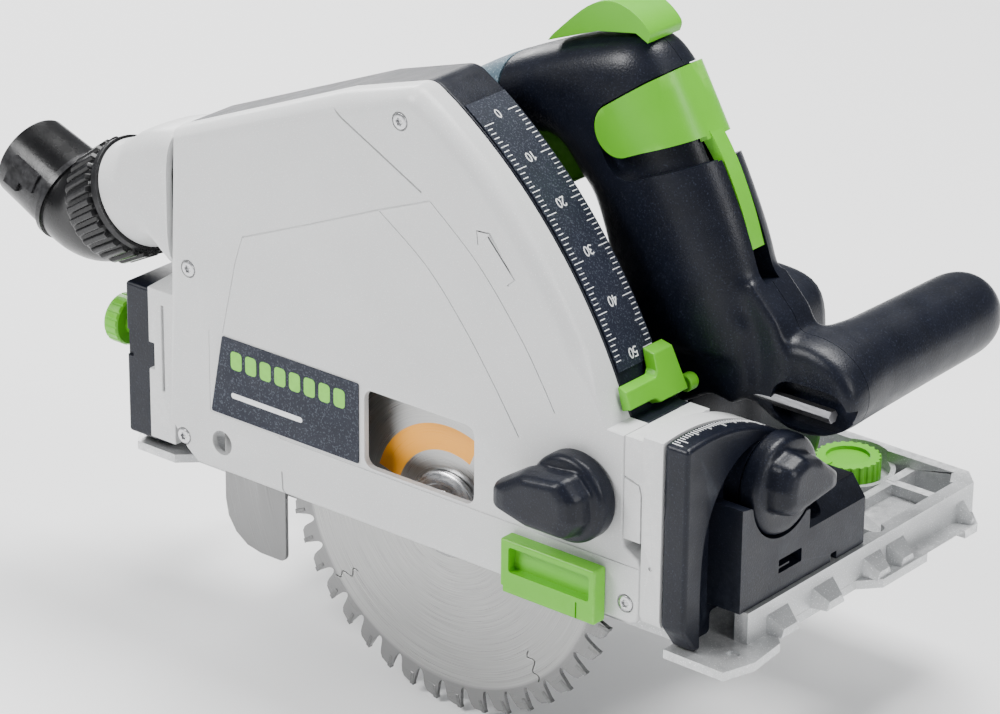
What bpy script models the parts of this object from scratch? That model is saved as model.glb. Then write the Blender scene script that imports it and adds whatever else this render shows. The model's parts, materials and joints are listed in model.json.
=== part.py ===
"""Track plunge saw, modelled piece by piece.

Part frame: metres, +Z up, +X to the front of the saw, +Y to the motor side. The origin is on the
underside of the base plate, under the motor. The saw is plunged to full depth on its guide-rail setting.
The pieces are drawn in the saw's own frame, in millimetres, whose origin is the centre of the blade.
"""
import math

import bmesh
import bpy
from mathutils import Matrix, Vector

MM = 0.001
GAP = 0.3

# Driving dimensions (mm, in the saw frame: blade centre at 0, 0, 0)
BLADE_R = 80.0
BLADE_THICK = 1.8
BLADE_TEETH = 42
BLADE_BORE_R = 10.0
BASE_UNDER_Z = -21.0
ORIGIN_Y = 60.0
COVER_Y = -12.0
SHELL_SPLIT_Y = 1.5
HOUSING_BACK_Y = 26.0
PLUNGE_PIVOT = (-103.7, 1.2)
ARC_CENTRE = (-116.2, -14.2)
ARC_R = 211.5
BEVEL_AXIS = (0.0, BASE_UNDER_Z)
BEVEL_ARC_R = 86.0
HANDLE_SPLIT_Y = 57.5
GEAR_MODULE = 1.0
SPINDLE_TEETH = 24
COUNTER_PINION_TEETH = 15
COUNTER_GEAR_TEETH = 40
MOTOR_PINION_TEETH = 12
TRAIN_ANGLE = math.radians(45.0)
MOTOR_R = 41.0
MOTOR_END = (33.5, 33.0, 42.5, 41.0)

COUNTER_DIST = GEAR_MODULE * (SPINDLE_TEETH + COUNTER_PINION_TEETH) / 2
MOTOR_DIST = COUNTER_DIST + GEAR_MODULE * (COUNTER_GEAR_TEETH + MOTOR_PINION_TEETH) / 2
COUNTER = (COUNTER_DIST * math.cos(TRAIN_ANGLE), COUNTER_DIST * math.sin(TRAIN_ANGLE))
MOTOR = (MOTOR_DIST * math.cos(TRAIN_ANGLE), MOTOR_DIST * math.sin(TRAIN_ANGLE))

FINISHES = {
    "cover_paint": ((0.74, 0.75, 0.76, 1.0), 0.35, 0.3),
    "cast_aluminium": ((0.72, 0.73, 0.74, 1.0), 0.4, 0.7),
    "black_plastic": ((0.018, 0.022, 0.035, 1.0), 0.5, 0.0),
    "port_plastic": ((0.02, 0.02, 0.022, 1.0), 0.35, 0.0),
    "green_plastic": ((0.17, 0.55, 0.06, 1.0), 0.4, 0.0),
    "grip_rubber": ((0.07, 0.11, 0.13, 1.0), 0.6, 0.0),
    "label_print": ((0.03, 0.04, 0.06, 1.0), 0.5, 0.0),
    "blade_steel": ((0.62, 0.62, 0.62, 1.0), 0.3, 1.0),
    "machined_steel": ((0.5, 0.5, 0.52, 1.0), 0.3, 1.0),
    "copper": ((0.6, 0.28, 0.12, 1.0), 0.35, 1.0),
    "motor_iron": ((0.18, 0.18, 0.2, 1.0), 0.5, 0.8),
}

for old in list(bpy.data.objects):
    bpy.data.objects.remove(old, do_unlink=True)


def finish_material(name):
    if name in bpy.data.materials:
        return bpy.data.materials[name]
    colour, roughness, metallic = FINISHES[name]
    material = bpy.data.materials.new(name)
    material.use_nodes = True
    shader = material.node_tree.nodes["Principled BSDF"]
    shader.inputs["Base Color"].default_value = colour
    shader.inputs["Roughness"].default_value = roughness
    shader.inputs["Metallic"].default_value = metallic
    return material


def make_frame(name, point, parent=None):
    """An empty at a point of the saw frame, which its children turn or slide about."""
    empty = bpy.data.objects.new(name, None)
    bpy.context.scene.collection.objects.link(empty)
    empty.parent = parent
    empty["at"] = point
    offset = Vector(parent["at"]) if parent else Vector((0.0, ORIGIN_Y, BASE_UNDER_Z))
    empty.location = (Vector(point) - offset) * MM
    return empty


SAW = make_frame("SAW_FRAME", (0.0, 0.0, 0.0))
SPINDLE_AXIS = make_frame("SPINDLE_AXIS", (0.0, 0.0, 0.0), SAW)
COUNTER_AXIS = make_frame("COUNTER_AXIS", (COUNTER[0], 0.0, COUNTER[1]), SAW)
MOTOR_AXIS = make_frame("MOTOR_AXIS", (MOTOR[0], 0.0, MOTOR[1]), SAW)


def piece(name, shape, finish, frame=SAW, bevel=0.0, segments=1, smooth=False):
    """Link a bmesh drawn in the saw frame (mm) as the named piece, under the frame on its axis."""
    bmesh.ops.recalc_face_normals(shape, faces=shape.faces)
    at = Vector(frame["at"])
    bmesh.ops.transform(shape, matrix=Matrix.Scale(MM, 4) @ Matrix.Translation(-at), verts=shape.verts)
    mesh = bpy.data.meshes.new(name)
    shape.to_mesh(mesh)
    shape.free()
    obj = bpy.data.objects.new(name, mesh)
    bpy.context.scene.collection.objects.link(obj)
    obj.parent = frame
    mesh.materials.append(finish_material(finish))
    if smooth:
        mesh.shade_smooth()
        mesh.set_sharp_from_angle(angle=math.radians(35))
    if bevel:
        modifier = obj.modifiers.new("edges", "BEVEL")
        modifier.width = bevel * MM
        modifier.segments = segments
        modifier.limit_method = "ANGLE"
        modifier.angle_limit = math.radians(50)
    return obj


def combine(target, shape, operation, frame=SAW):
    """Boolean a helper shape into a piece; the helper itself stays out of the model."""
    helper = piece(f"{target.name}_tool_{len(target.modifiers)}", shape, "machined_steel", frame)
    helper.hide_render = True
    helper.display_type = "WIRE"
    modifier = target.modifiers.new(operation.lower(), "BOOLEAN")
    modifier.operation = operation
    modifier.solver = "EXACT"
    modifier.object = helper


def cut(target, *shapes, frame=SAW):
    for shape in shapes:
        combine(target, shape, "DIFFERENCE", frame)


def add(target, *shapes, frame=SAW):
    for shape in shapes:
        combine(target, shape, "UNION", frame)


def lift(axis, u, v, along):
    """A 3-D point from the two in-plane coordinates of a face whose normal is the given axis."""
    if axis == "X":
        return Vector((along, u, v))
    if axis == "Y":
        return Vector((u, along, v))
    return Vector((u, v, along))


def prism(outline, axis, low, high):
    """Extrude a closed outline along an axis. Outlines are (y, z), (x, z) or (x, y)."""
    shape = bmesh.new()
    base = [shape.verts.new(lift(axis, u, v, low)) for u, v in outline]
    face = shape.faces.new(base)
    moved = bmesh.ops.extrude_face_region(shape, geom=[face])
    step = lift(axis, 0.0, 0.0, high - low)
    bmesh.ops.translate(shape, vec=step, verts=[v for v in moved["geom"] if isinstance(v, bmesh.types.BMVert)])
    return shape


def box(low, high):
    return prism([(low[0], low[1]), (high[0], low[1]), (high[0], high[1]), (low[0], high[1])],
                 "Z", low[2], high[2])


def arc(centre, radius, start, end, steps):
    """Points on a circle, angles in degrees from the first in-plane axis."""
    turn = [math.radians(start + (end - start) * i / steps) for i in range(steps + 1)]
    return [(centre[0] + radius * math.cos(a), centre[1] + radius * math.sin(a)) for a in turn]


def circle(centre, radius, steps):
    return arc(centre, radius, 0.0, 360.0 - 360.0 / steps, steps - 1)


def rounded(corners, steps=3):
    """An outline from (u, v, radius) corners."""
    outline = []
    count = len(corners)
    for i, (u, v, radius) in enumerate(corners):
        here = Vector((u, v))
        if radius <= 0:
            outline.append((u, v))
            continue
        before = (Vector(corners[i - 1][:2]) - here).normalized()
        after = (Vector(corners[(i + 1) % count][:2]) - here).normalized()
        half = before.angle(after) / 2
        reach = radius / math.tan(half)
        middle = here + (before + after).normalized() * (radius / math.sin(half))
        first = here + before * reach - middle
        sweep = first.angle_signed(here + after * reach - middle)
        for k in range(steps + 1):
            turned_by = Matrix.Rotation(-sweep * k / steps, 2)
            outline.append(tuple(middle + turned_by @ first))
    return outline


def slab(corners, radius, axis, low, high):
    """A rectangular block with rounded corners, corners = (u0, v0, u1, v1)."""
    u0, v0, u1, v1 = corners
    ring = [(u0, v0, radius), (u1, v0, radius), (u1, v1, radius), (u0, v1, radius)]
    return prism(rounded(ring), axis, low, high)


def rod(axis, centre, radius, low, high, steps=24):
    return prism(circle(centre, radius, steps), axis, low, high)


def loft(sections, closed=False):
    """Skin between sections of equal length; the ends are capped, or joined when closed."""
    shape = bmesh.new()
    rings = [[shape.verts.new(point) for point in section] for section in sections]
    count = len(rings[0])
    for first, second in zip(rings, rings[1:] + rings[:1] if closed else rings[1:]):
        for k in range(count):
            after = (k + 1) % count
            shape.faces.new((first[k], first[after], second[after], second[k]))
    if not closed:
        shape.faces.new(rings[0])
        shape.faces.new(rings[-1])
    return shape


def turned(profile, axis, centre, steps=24):
    """Revolve a closed (radius, along) profile about an axis through centre."""
    sections = []
    for i in range(steps):
        a = 2 * math.pi * i / steps
        sections.append([lift(axis, centre[0] + r * math.cos(a), centre[1] + r * math.sin(a), along)
                         for r, along in profile])
    return loft(sections, closed=True)


def tube(axis, centre, inner, outer, low, high, steps=24):
    return turned([(inner, low), (outer, low), (outer, high), (inner, high)], axis, centre, steps)


def gear_outline(centre, teeth, phase):
    """Straight-flanked teeth, thinner than half the pitch so that a meshed pair runs free."""
    pitch_r = GEAR_MODULE * teeth / 2
    root, tip = pitch_r - 1.15 * GEAR_MODULE, pitch_r + 0.75 * GEAR_MODULE
    outline = []
    for i in range(teeth):
        for offset, radius in ((-0.3, root), (-0.13, tip), (0.13, tip), (0.3, root)):
            a = 2 * math.pi * (i + phase + offset) / teeth
            outline.append((centre[0] + radius * math.cos(a), centre[1] + radius * math.sin(a)))
    return outline


def gear(name, centre, teeth, phase, low, high, bore, finish, frame):
    wheel = piece(name, prism(gear_outline(centre, teeth, phase), "Y", low, high), finish, frame)
    cut(wheel, rod("Y", centre, bore, low - 1, high + 1, 16), frame=frame)
    return wheel


def mesh_phase(teeth, centre, other, tooth_faces_other):
    """The phase that puts a tooth, or a gap, of this gear on the line to the other gear."""
    toward = math.atan2(other[1] - centre[1], other[0] - centre[0]) / (2 * math.pi) * teeth
    return toward if tooth_faces_other else toward + 0.5


# ---------------------------------------------------------------- base plate and bevel segments

BASE_LEFT_Y = 164.0
DECK_TOP_Z = -17.5
RIM_TOP_Z = -5.0
FRONT_RIM_X = (122.0, 127.9)
REAR_RIM_X = (-149.5, -145.0)
WINDOW_Y = (40, 104)
FRONT_WINDOW_X = (40, 104)
REAR_WINDOW_X = (-145, -122)
RAIL_GROOVE = (116.5, 141.8)
GROOVE_ROOF_Z = -14.0
RIB_X = (28, -60, -115)
CAM_X = (78.0, -96.0)
CAM_Y = 145.0
CAM_WELL_R = 16.5


def base_plate():
    """Cast plate with a raised rim, ribs, wells for the guide cams and a groove for the rail's rib."""
    left = BASE_LEFT_Y
    deck = [(-131, 4), (107, 4), (107, -9), (134, -9.5), (138, 4), (136, 22), (128, 30), (128, 80), (135, 88),
            (135, 150), (128, 157), (121, left), (-146, left), (-152, left - 8), (-152, 10),
            (-163, 4), (-158, -2.5), (-138, -2.5)]
    plate = piece("base_plate", prism(deck, "Z", BASE_UNDER_Z, DECK_TOP_Z), "cast_aluminium")
    rim = RIM_TOP_Z
    walls = [
        box((-149, 112, -18), (127, 145.5, GROOVE_ROOF_Z)),
        box((FRONT_RIM_X[0], 13, -18.1), (FRONT_RIM_X[1], 157.0, rim)),
        box((REAR_RIM_X[0], 30, -18.2), (REAR_RIM_X[1], 157.2, rim)),
        box((-146, left - 5, -18.3), (121, left - 0.2, rim)),
        prism([(117, 158), (121, 151), (127.8, 156.9), (121.2, left - 0.3)], "Z", -18.4, rim),
        box((96.2, 145, -18.4), (100, left - 0.4, -9.2)),
        box((96.6, 143, -14.5), (122.5, 147.2, -9.4)),
        box((96.3, 126, -14.6), (100.1, 147.3, -9.5)),
    ]
    ribs = [box((x, 60, -18.5), (x + 4, 112.5, -12)) for x in RIB_X]
    add(plate, *walls, *ribs)
    for x in CAM_X:
        add(plate, rod("Z", (x, CAM_Y), CAM_WELL_R + 2, -18.6, -9.6 if x > 0 else -9.7, 24))
        cut(plate, rod("Z", (x, CAM_Y), CAM_WELL_R, GROOVE_ROOF_Z + 0.2, 0, 24))
    cut(plate,
        box((-170, RAIL_GROOVE[0], -30), (150, RAIL_GROOVE[1], DECK_TOP_Z)),
        rod("Z", (121.5, 100), 4, -30, 0, 16),
        slab((FRONT_WINDOW_X[0], WINDOW_Y[0], FRONT_WINDOW_X[1], WINDOW_Y[1]), 6, "Z", -30, 0),
        slab((REAR_WINDOW_X[0], WINDOW_Y[0], REAR_WINDOW_X[1], WINDOW_Y[1]), 6, "Z", -30, 0))
    return plate


SEGMENT_END = 26.0


def segment_outline(start_y):
    """The bevel segment's (y, z) outline: an arc about the bevel axis, and straight sides."""
    start = math.degrees(math.acos(start_y / BEVEL_ARC_R))
    top = arc(BEVEL_AXIS, BEVEL_ARC_R, SEGMENT_END, start, 12)
    return top + [(start_y, -7.0), (start_y + 7, -17.1), (12, -17.1), (12, -8.7), (top[0][0], -8.7)]


FRONT_KNOB = (36.0, 37.0)
FRONT_KNOB_R = 19.0


def front_segment():
    segment = piece("front_segment", prism(segment_outline(COVER_Y + 0.2), "X", 107.3, 118.0),
                    "black_plastic", bevel=1.2)
    block = [(10, -4.7), (86.5, -4.7), (86.5, 22), (51, 22), (40, 23), (15.5, 35), (10, 36)]
    slope = [(126.6, 13.6), (118.2, 24.5), (130.0, 30.0), (130.0, 13.6)]
    add(segment, prism(block, "X", 112.0, 126.5))
    cut(segment, rod("X", FRONT_KNOB, FRONT_KNOB_R + 1.0, 118.3, 140, 28), prism(slope, "Y", 51.5, 90),
        slab((33, 2.8, 47, 8), 1, "X", 119.5, 140))
    return segment


def rear_segment():
    outline = [(-5, -12), (3, -17.1), (14, -17.1), (14, -4.7), (70, -4.7), (70, 14), (56, 34), (40, 45),
               (22, 51), (-5, 51)]
    return piece("rear_segment", prism(outline, "X", -160.0, -144.6), "black_plastic", bevel=1.2)


# ---------------------------------------------------------------- guard housing and its covers

HOUSING_ARC = (24.3, 58.2)
HOUSING_REAR_X = -130.8
HOUSING_WALL = 3.5
SIGHT_WINDOW = (-31.5, 13.5, 21.5, 45.0)
SCREW_CENTRES = ((-14.0, 154.5), (-119.6, 69.0), (-123.7, -1.8), (91.8, -3.0))
SPOUT_MOUTH = (8.0, 92.0)
SPOUT_END = Vector((-161.0, 8.0, 83.6))
SPOUT_DIRECTION = Vector((-0.854, 0.0, -0.52)).normalized()
SPOUT_R = 22.0


def housing_front_arc(wall):
    """The front of the housing, which the depth scale follows, drawn in by a wall; angles in degrees."""
    return arc(ARC_CENTRE, ARC_R - wall, HOUSING_ARC[0], HOUSING_ARC[1], 14)


def cover_outline():
    front = [(-121, -10.5), (94, -10.5), (98, -6), (98, 14), (90, 20), (90, 62.5), (82, 62.5)]
    top = [(-11.7, 166.7), (-45.5, 156.8)]
    rear = [(HOUSING_REAR_X, 121.5), (HOUSING_REAR_X, -6.5)]
    return front + housing_front_arc(0.0) + top + rear


def inner_outline(wall):
    """The hollow of the housing, open at the bottom for the blade."""
    front = [(-125.5, -30), (87, -30), (87, 62)]
    top = [(-12, 166.7 - wall), (-44.5, 156.8 - wall)]
    rear = [(HOUSING_REAR_X + wall, 121.5 - wall), (HOUSING_REAR_X + wall, 10), (-125.5, 0)]
    return front + housing_front_arc(wall) + top + rear


def side_cover():
    cover = piece("side_cover", prism(cover_outline(), "Y", COVER_Y, SHELL_SPLIT_Y - 0.1), "cover_paint",
                  bevel=1.5, segments=2)
    cut(cover,
        prism(inner_outline(HOUSING_WALL), "Y", COVER_Y + 2.5, SHELL_SPLIT_Y + 1),
        slab(SIGHT_WINDOW, 4, "Y", -20, 0),
        rod("Y", PLUNGE_PIVOT, 5, -20, 0, 16),
        rod("X", (SPOUT_MOUTH[0] - 4, SPOUT_MOUTH[1]), 13, -140, -120, 20))
    return cover


def guard_housing():
    housing = piece("guard_housing", prism(cover_outline(), "Y", SHELL_SPLIT_Y + 0.2, HOUSING_BACK_Y),
                    "black_plastic")
    slot = arc(PLUNGE_PIVOT, 121.5, -30, 46, 12) + arc(PLUNGE_PIVOT, 86, 46, -30, 10)
    cut(housing,
        prism(inner_outline(HOUSING_WALL), "Y", SHELL_SPLIT_Y - 1, HOUSING_BACK_Y - 3),
        prism(slot, "Y", HOUSING_BACK_Y - 5, HOUSING_BACK_Y + 5),
        rod("X", (SPOUT_MOUTH[0] - 4, SPOUT_MOUTH[1]), 13, -140, -120, 20),
        rod("Y", PLUNGE_PIVOT, 4.3, 20, 30, 16))
    return housing


def ring_across(centre, normal, half_y, half_up, steps):
    """An ellipse of points in the plane across a normal that lies nearly in the XZ plane."""
    side = (Vector((0, 1, 0)) - normal * normal.y).normalized()
    up = side.cross(normal)
    return [centre + side * half_y * math.cos(a) + up * half_up * math.sin(a)
            for a in (2 * math.pi * k / steps for k in range(steps))]


def dust_spout():
    """Tapers from the tall mouth on the housing to the round end that the collar pushes onto."""
    rear = Vector((-1, 0, 0))
    mouth = Vector((-131.1, *SPOUT_MOUTH))
    waist = Vector((-145.0, 8.0, 89.5))
    between = (rear + SPOUT_DIRECTION).normalized()
    stations = [(mouth, rear, 19.0, 28.0), (waist, between, 20.5, 24.0),
                (SPOUT_END, SPOUT_DIRECTION, SPOUT_R, SPOUT_R)]
    outside = [ring_across(at, normal, y, up, 28) for at, normal, y, up in stations]
    inside = [ring_across(at, normal, y - 3.5, up - 3.5, 28) for at, normal, y, up in reversed(stations)]
    return piece("dust_spout", loft(outside + inside, closed=True), "cover_paint", smooth=True)


def label_plate():
    outline = [(-102.5, 46.3), (-34.1, 46.3), (-34.1, 13.7), (-108.7, 13.7)]
    return piece("label_plate", prism(outline, "Y", COVER_Y - 0.7, COVER_Y - 0.3), "label_print")


def depth_scale():
    inner, outer = ARC_R + 0.3, ARC_R + 0.7
    outline = arc(ARC_CENTRE, inner, 25.5, 55.5, 14) + arc(ARC_CENTRE, outer, 55.5, 25.5, 14)
    return piece("depth_scale", prism(outline, "Y", 3.0, 25.0), "label_print")


def front_end_block():
    top = arc(BEVEL_AXIS, BEVEL_ARC_R, 44, math.degrees(math.acos(COVER_Y / BEVEL_ARC_R)), 10)
    under = arc(BEVEL_AXIS, 66, 62, 44, 4)
    outline = top + [(COVER_Y, -5.5), (COVER_Y + 4, -9.5), (25.5, -9.5), (25.5, 30)] + under
    block = piece("front_end_block", prism(outline, "X", 98.3, 107.0), "cover_paint")
    shoulder = [(COVER_Y, 22.5), (25.5, 22.5), (25.5, 62.5), (COVER_Y, 62.5)]
    add(block, prism(shoulder, "X", 90.3, 99.0))
    return block


def rear_end_block():
    outline = [(-9, -9), (25, -9), (25, 50), (12, 56), (-9, 54)]
    return piece("rear_end_block", prism(outline, "X", -144.3, -131.1), "cover_paint", bevel=1.0)


def cover_screws():
    head = [(1.2, COVER_Y - 0.9), (3.2, COVER_Y - 0.9), (3.2, COVER_Y - 0.3), (1.2, COVER_Y - 0.3)]
    for i, centre in enumerate(SCREW_CENTRES):
        shape = turned(head, "Y", centre, 16)
        bmesh.ops.holes_fill(shape, edges=shape.edges)
        piece(f"cover_screw_{i + 1}", shape, "machined_steel")


def pivot_pin():
    profile = [(0.8, 3.5), (6.5, 3.5), (6.5, 6.5), (4.0, 6.5), (4.0, 51.0), (0.8, 51.0)]
    return piece("plunge_pivot_pin", turned(profile, "Y", PLUNGE_PIVOT, 20), "machined_steel", smooth=True)


def plunge_spring():
    """Torsion spring, wound round the pivot boss on the motor side of the guard housing."""
    wire_r, coil_r, pitch, turns, per_turn, sides = 1.0, 7.0, 2.6, 3, 12, 6
    sections = []
    for i in range(turns * per_turn + 1):
        a = 2 * math.pi * i / per_turn
        radial = Vector((math.cos(a), 0, math.sin(a)))
        centre = Vector((PLUNGE_PIVOT[0], 42.5 + pitch * i / per_turn, PLUNGE_PIVOT[1])) + coil_r * radial
        sections.append([centre + wire_r * (radial * math.cos(b) + Vector((0, math.sin(b), 0)))
                         for b in (2 * math.pi * k / sides for k in range(sides))])
    return piece("plunge_spring", loft(sections), "machined_steel", smooth=True)


def riving_knife():
    corners = [(-112.8, -47, 18), (-81.6, -47, 3), (-81.6, -9.5, 0), (-104.5, -4, 0), (-104.5, 30, 0),
               (-112.8, 30, 0)]
    return piece("riving_knife", prism(rounded(corners, 4), "Y", -0.9, 0.9), "blade_steel")


# ---------------------------------------------------------------- blade, spindle and gear train

FRONT_MESH = (30.5, 38.0)
REAR_MESH = (40.5, 47.0)


def saw_blade():
    """Plate with carbide-tipped teeth; each tooth leans forward and has a rounded gullet behind it."""
    pitch = 360.0 / BLADE_TEETH
    outline = []
    for i in range(BLADE_TEETH):
        start = -i * pitch
        for offset, depth in ((0.0, 0.0), (0.34, 0.8), (0.5, 5.0), (0.72, 7.5), (0.93, 5.5)):
            a = math.radians(start - offset * pitch)
            radius = BLADE_R - depth
            outline.append((radius * math.cos(a), radius * math.sin(a)))
    half = BLADE_THICK / 2
    blade = piece("saw_blade", prism(outline, "Y", -half, half), "blade_steel", SPINDLE_AXIS)
    cut(blade, rod("Y", (0, 0), BLADE_BORE_R, -5, 5, 24), frame=SPINDLE_AXIS)
    return blade


def spindle_pieces():
    centre = (0.0, 0.0)
    shaft = [(3.0, -0.9), (5.0, -0.9), (5.0, 38.6), (3.0, 38.6)]
    piece("spindle_shaft", turned(shaft, "Y", centre, 20), "machined_steel", SPINDLE_AXIS, smooth=True)
    hub = [(5.3, -0.8), (9.7, -0.8), (9.7, 1.2), (17.0, 1.2), (17.0, 4.5), (8.5, 5.8), (5.3, 5.8)]
    piece("inner_flange", turned(hub, "Y", centre, 22), "machined_steel", SPINDLE_AXIS, smooth=True)
    cap = [(3.4, -4.4), (14.0, -4.4), (17.0, -3.0), (17.0, -1.2), (3.4, -1.2)]
    piece("outer_flange", turned(cap, "Y", centre, 22), "machined_steel", SPINDLE_AXIS, smooth=True)
    bolt = piece("arbor_bolt", rod("Y", centre, 2.7, -6.0, 12.0, 12), "machined_steel", SPINDLE_AXIS)
    add(bolt, rod("Y", centre, 7.2, -8.4, -4.7, 18), frame=SPINDLE_AXIS)
    cut(bolt, rod("Y", centre, 2.9, -9.0, -6.4, 6), frame=SPINDLE_AXIS)


def gear_train():
    spindle, counter, motor = (0.0, 0.0), COUNTER, MOTOR
    gear("spindle_gear", spindle, SPINDLE_TEETH, mesh_phase(SPINDLE_TEETH, spindle, counter, True),
         *FRONT_MESH, 5.3, "machined_steel", SPINDLE_AXIS)
    pinion_phase = mesh_phase(COUNTER_PINION_TEETH, counter, spindle, False)
    shaft = piece("countershaft", prism(gear_outline(counter, COUNTER_PINION_TEETH, pinion_phase), "Y",
                                        *FRONT_MESH), "machined_steel", COUNTER_AXIS)
    add(shaft,
        rod("Y", counter, 3.6, 29.9, 31.5, 16),
        rod("Y", counter, 4.0, 37.0, 49.9, 16),
        frame=COUNTER_AXIS)
    gear("counter_gear", counter, COUNTER_GEAR_TEETH, mesh_phase(COUNTER_GEAR_TEETH, counter, motor, True),
         *REAR_MESH, 4.3, "machined_steel", COUNTER_AXIS)
    motor_phase = mesh_phase(MOTOR_PINION_TEETH, motor, counter, False)
    armature = piece("armature_shaft", prism(gear_outline(motor, MOTOR_PINION_TEETH, motor_phase), "Y",
                                             *REAR_MESH), "machined_steel", MOTOR_AXIS)
    add(armature, rod("Y", motor, 4.0, 46.0, 127.0, 16), frame=MOTOR_AXIS)


def motor_pieces():
    piece("armature_core", tube("Y", MOTOR, 4.3, 22.0, 66, 98, 24), "motor_iron", MOTOR_AXIS, smooth=True)
    piece("commutator", tube("Y", MOTOR, 4.3, 11.0, 103, 113, 24), "copper", MOTOR_AXIS, smooth=True)
    fan = piece("cooling_fan", tube("Y", MOTOR, 4.3, 12.0, 58.6, 64.0, 20), "black_plastic", MOTOR_AXIS)
    add(fan, tube("Y", MOTOR, 10.0, 33.0, 58.6, 60.2, 28), frame=MOTOR_AXIS)
    piece("stator", tube("Y", MOTOR, 22.7, 36.6, 66, 98, 28), "motor_iron", smooth=True)
    for name, side in (("carbon_brush_1", 1), ("carbon_brush_2", -1)):
        inner, outer = MOTOR[0] + side * 11.4, MOTOR[0] + side * 36.0
        low, high = min(inner, outer), max(inner, outer)
        piece(name, box((low, 105, MOTOR[1] - 4), (high, 111, MOTOR[1] + 4)), "copper")


def bearings():
    for name, centre, inner, outer, low, high in (
            ("spindle_bearing", (0.0, 0.0), 5.3, 10.7, 9.0, 25.0),
            ("countershaft_bearing", COUNTER, 4.3, 7.7, 47.6, 50.0),
            ("motor_bearing_front", MOTOR, 4.3, 10.7, 51.2, 57.0),
            ("motor_bearing_rear", MOTOR, 4.3, 10.7, 119.0, 126.0)):
        piece(name, tube("Y", centre, inner, outer, low, high, 20), "machined_steel", smooth=True)


# ---------------------------------------------------------------- gear and motor housings

def gear_case_outline():
    """Outline round the gears, the motor flange and the arm to the plunge pivot."""
    pivot = arc(PLUNGE_PIVOT, 9.5, 100, 262, 5)
    spindle = arc((0, 0), 15.6, 262, 280, 2)
    flange = arc(MOTOR, MOTOR_R, -86, 128, 18)
    return pivot + spindle + flange


def gear_case():
    case = piece("gear_case", prism(gear_case_outline(), "Y", 26.5, 50.0), "black_plastic")
    add(case, rod("Y", (0.0, 0.0), 15.7, 7.0, 28.0, 28))
    cut(case,
        rod("Y", (0.0, 0.0), 13.6, 29.5, 60.0, 24),
        rod("Y", COUNTER, 21.6, 29.6, 60.0, 28),
        rod("Y", MOTOR, 24.0, 29.7, 60.0, 28),
        rod("Y", (0.0, 0.0), 11.0, 6.0, 30.5, 24),
        rod("Y", PLUNGE_PIVOT, 4.3, 20.0, 60.0, 16),
        rod("Y", PLUNGE_PIVOT, 12.5, 40.0, 60.0, 20))
    return case


def gear_cover():
    cover = piece("gear_cover", rod("Y", MOTOR, MOTOR_R - 1, 50.3, 53.0, 32), "cast_aluminium")
    add(cover, rod("Y", MOTOR, 14.0, 52.5, 58.0, 24))
    cut(cover, rod("Y", MOTOR, 11.0, 50.9, 60.0, 20), rod("Y", MOTOR, 8.0, 40.0, 55.0, 20))
    return cover


def motor_ring(y, blend, scale=1.0):
    """The motor housing's section: from a circle (blend 0) to a squared circle (blend 1)."""
    ring = []
    for k in range(40):
        a = 2 * math.pi * k / 40
        u, v = math.cos(a), math.sin(a)
        swell = (abs(u) ** 6 + abs(v) ** 6) ** (-1 / 6)
        round_x, round_z = MOTOR[0] + MOTOR_R * u, MOTOR[1] + MOTOR_R * v
        square_x = MOTOR_END[0] + MOTOR_END[2] * u * swell
        square_z = MOTOR_END[1] + MOTOR_END[3] * v * swell
        x, z = round_x + (square_x - round_x) * blend, round_z + (square_z - round_z) * blend
        ring.append(Vector((MOTOR[0] + (x - MOTOR[0]) * scale, y, MOTOR[1] + (z - MOTOR[1]) * scale)))
    return ring


def motor_housing():
    """Round where the handle sits on it, squared towards its far end."""
    outside = [motor_ring(53.3, 0.0), motor_ring(80.0, 0.0), motor_ring(90.0, 1.0), motor_ring(114.0, 1.0)]
    bore = [motor_ring(y, 0.0, 37.0 / MOTOR_R) for y in (114.0, 53.3)]
    return piece("motor_housing", loft(outside + bore, closed=True), "black_plastic", smooth=True)


def motor_end_cap():
    shell = [motor_ring(114.3, 1.0), motor_ring(128.0, 1.0), motor_ring(133.5, 1.0, 0.93),
             motor_ring(136.0, 1.0, 0.8)]
    cap = piece("motor_end_cap", loft(shell), "black_plastic", smooth=True)
    cut(cap,
        turned([(13.5, 114.0), (37.0, 114.0), (37.0, 125.0), (13.5, 127.5)], "Y", MOTOR, 30),
        rod("Y", MOTOR, 14.0, 113.9, 118.5, 24),
        rod("Y", MOTOR, 11.2, 113.8, 127.6, 24))
    return cap


# ---------------------------------------------------------------- handle

COLUMN_DOWN = Vector((0.5, 0.0, -0.866)).normalized()
COLUMN_FRONT = Vector((0.866, 0.0, 0.5)).normalized()
LEVER_ORIGIN = Vector((41.8, HANDLE_SPLIT_Y, 147.7))
COLUMN_DEPTH = 31.0
COLUMN_WIDTH = 19.3
GRIP_SQUARING = 2.5
BAND = (-13.6, 13.6)
BAR_AXIS = (126.0, 68.5)
BAR_END_Y = 157.5
HANDLE_NEAR_Y = 38.0
HANDLE_FAR_Y = 77.0


# Stations round the D of the grip, from its rear end over the head and down the front column: an outer and
# an inner (x, z) point of the middle plane, and half the width there.
GRIP = [((-89, 100), (-77, 82), 14.0), ((-80, 118), (-66, 97), 17.0), ((-58, 135.5), (-46, 113), 17.5),
        ((-25, 157), (-17, 129), 17.5), ((4, 171), (3, 136.5), 18.0), ((28, 180), (12, 134.5), 18.6),
        ((47, 183.5), (17, 129), 19.0), ((60, 174.5), (20, 125), COLUMN_WIDTH),
        ((76.5, 152.5), (26, 119), COLUMN_WIDTH), ((88.5, 131), (31, 107), COLUMN_WIDTH),
        ((96.5, 113), (35.5, 93), COLUMN_WIDTH), ((103, 92), (40, 82), 18.6), ((108, 76), (50, 71), 17.5)]


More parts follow.
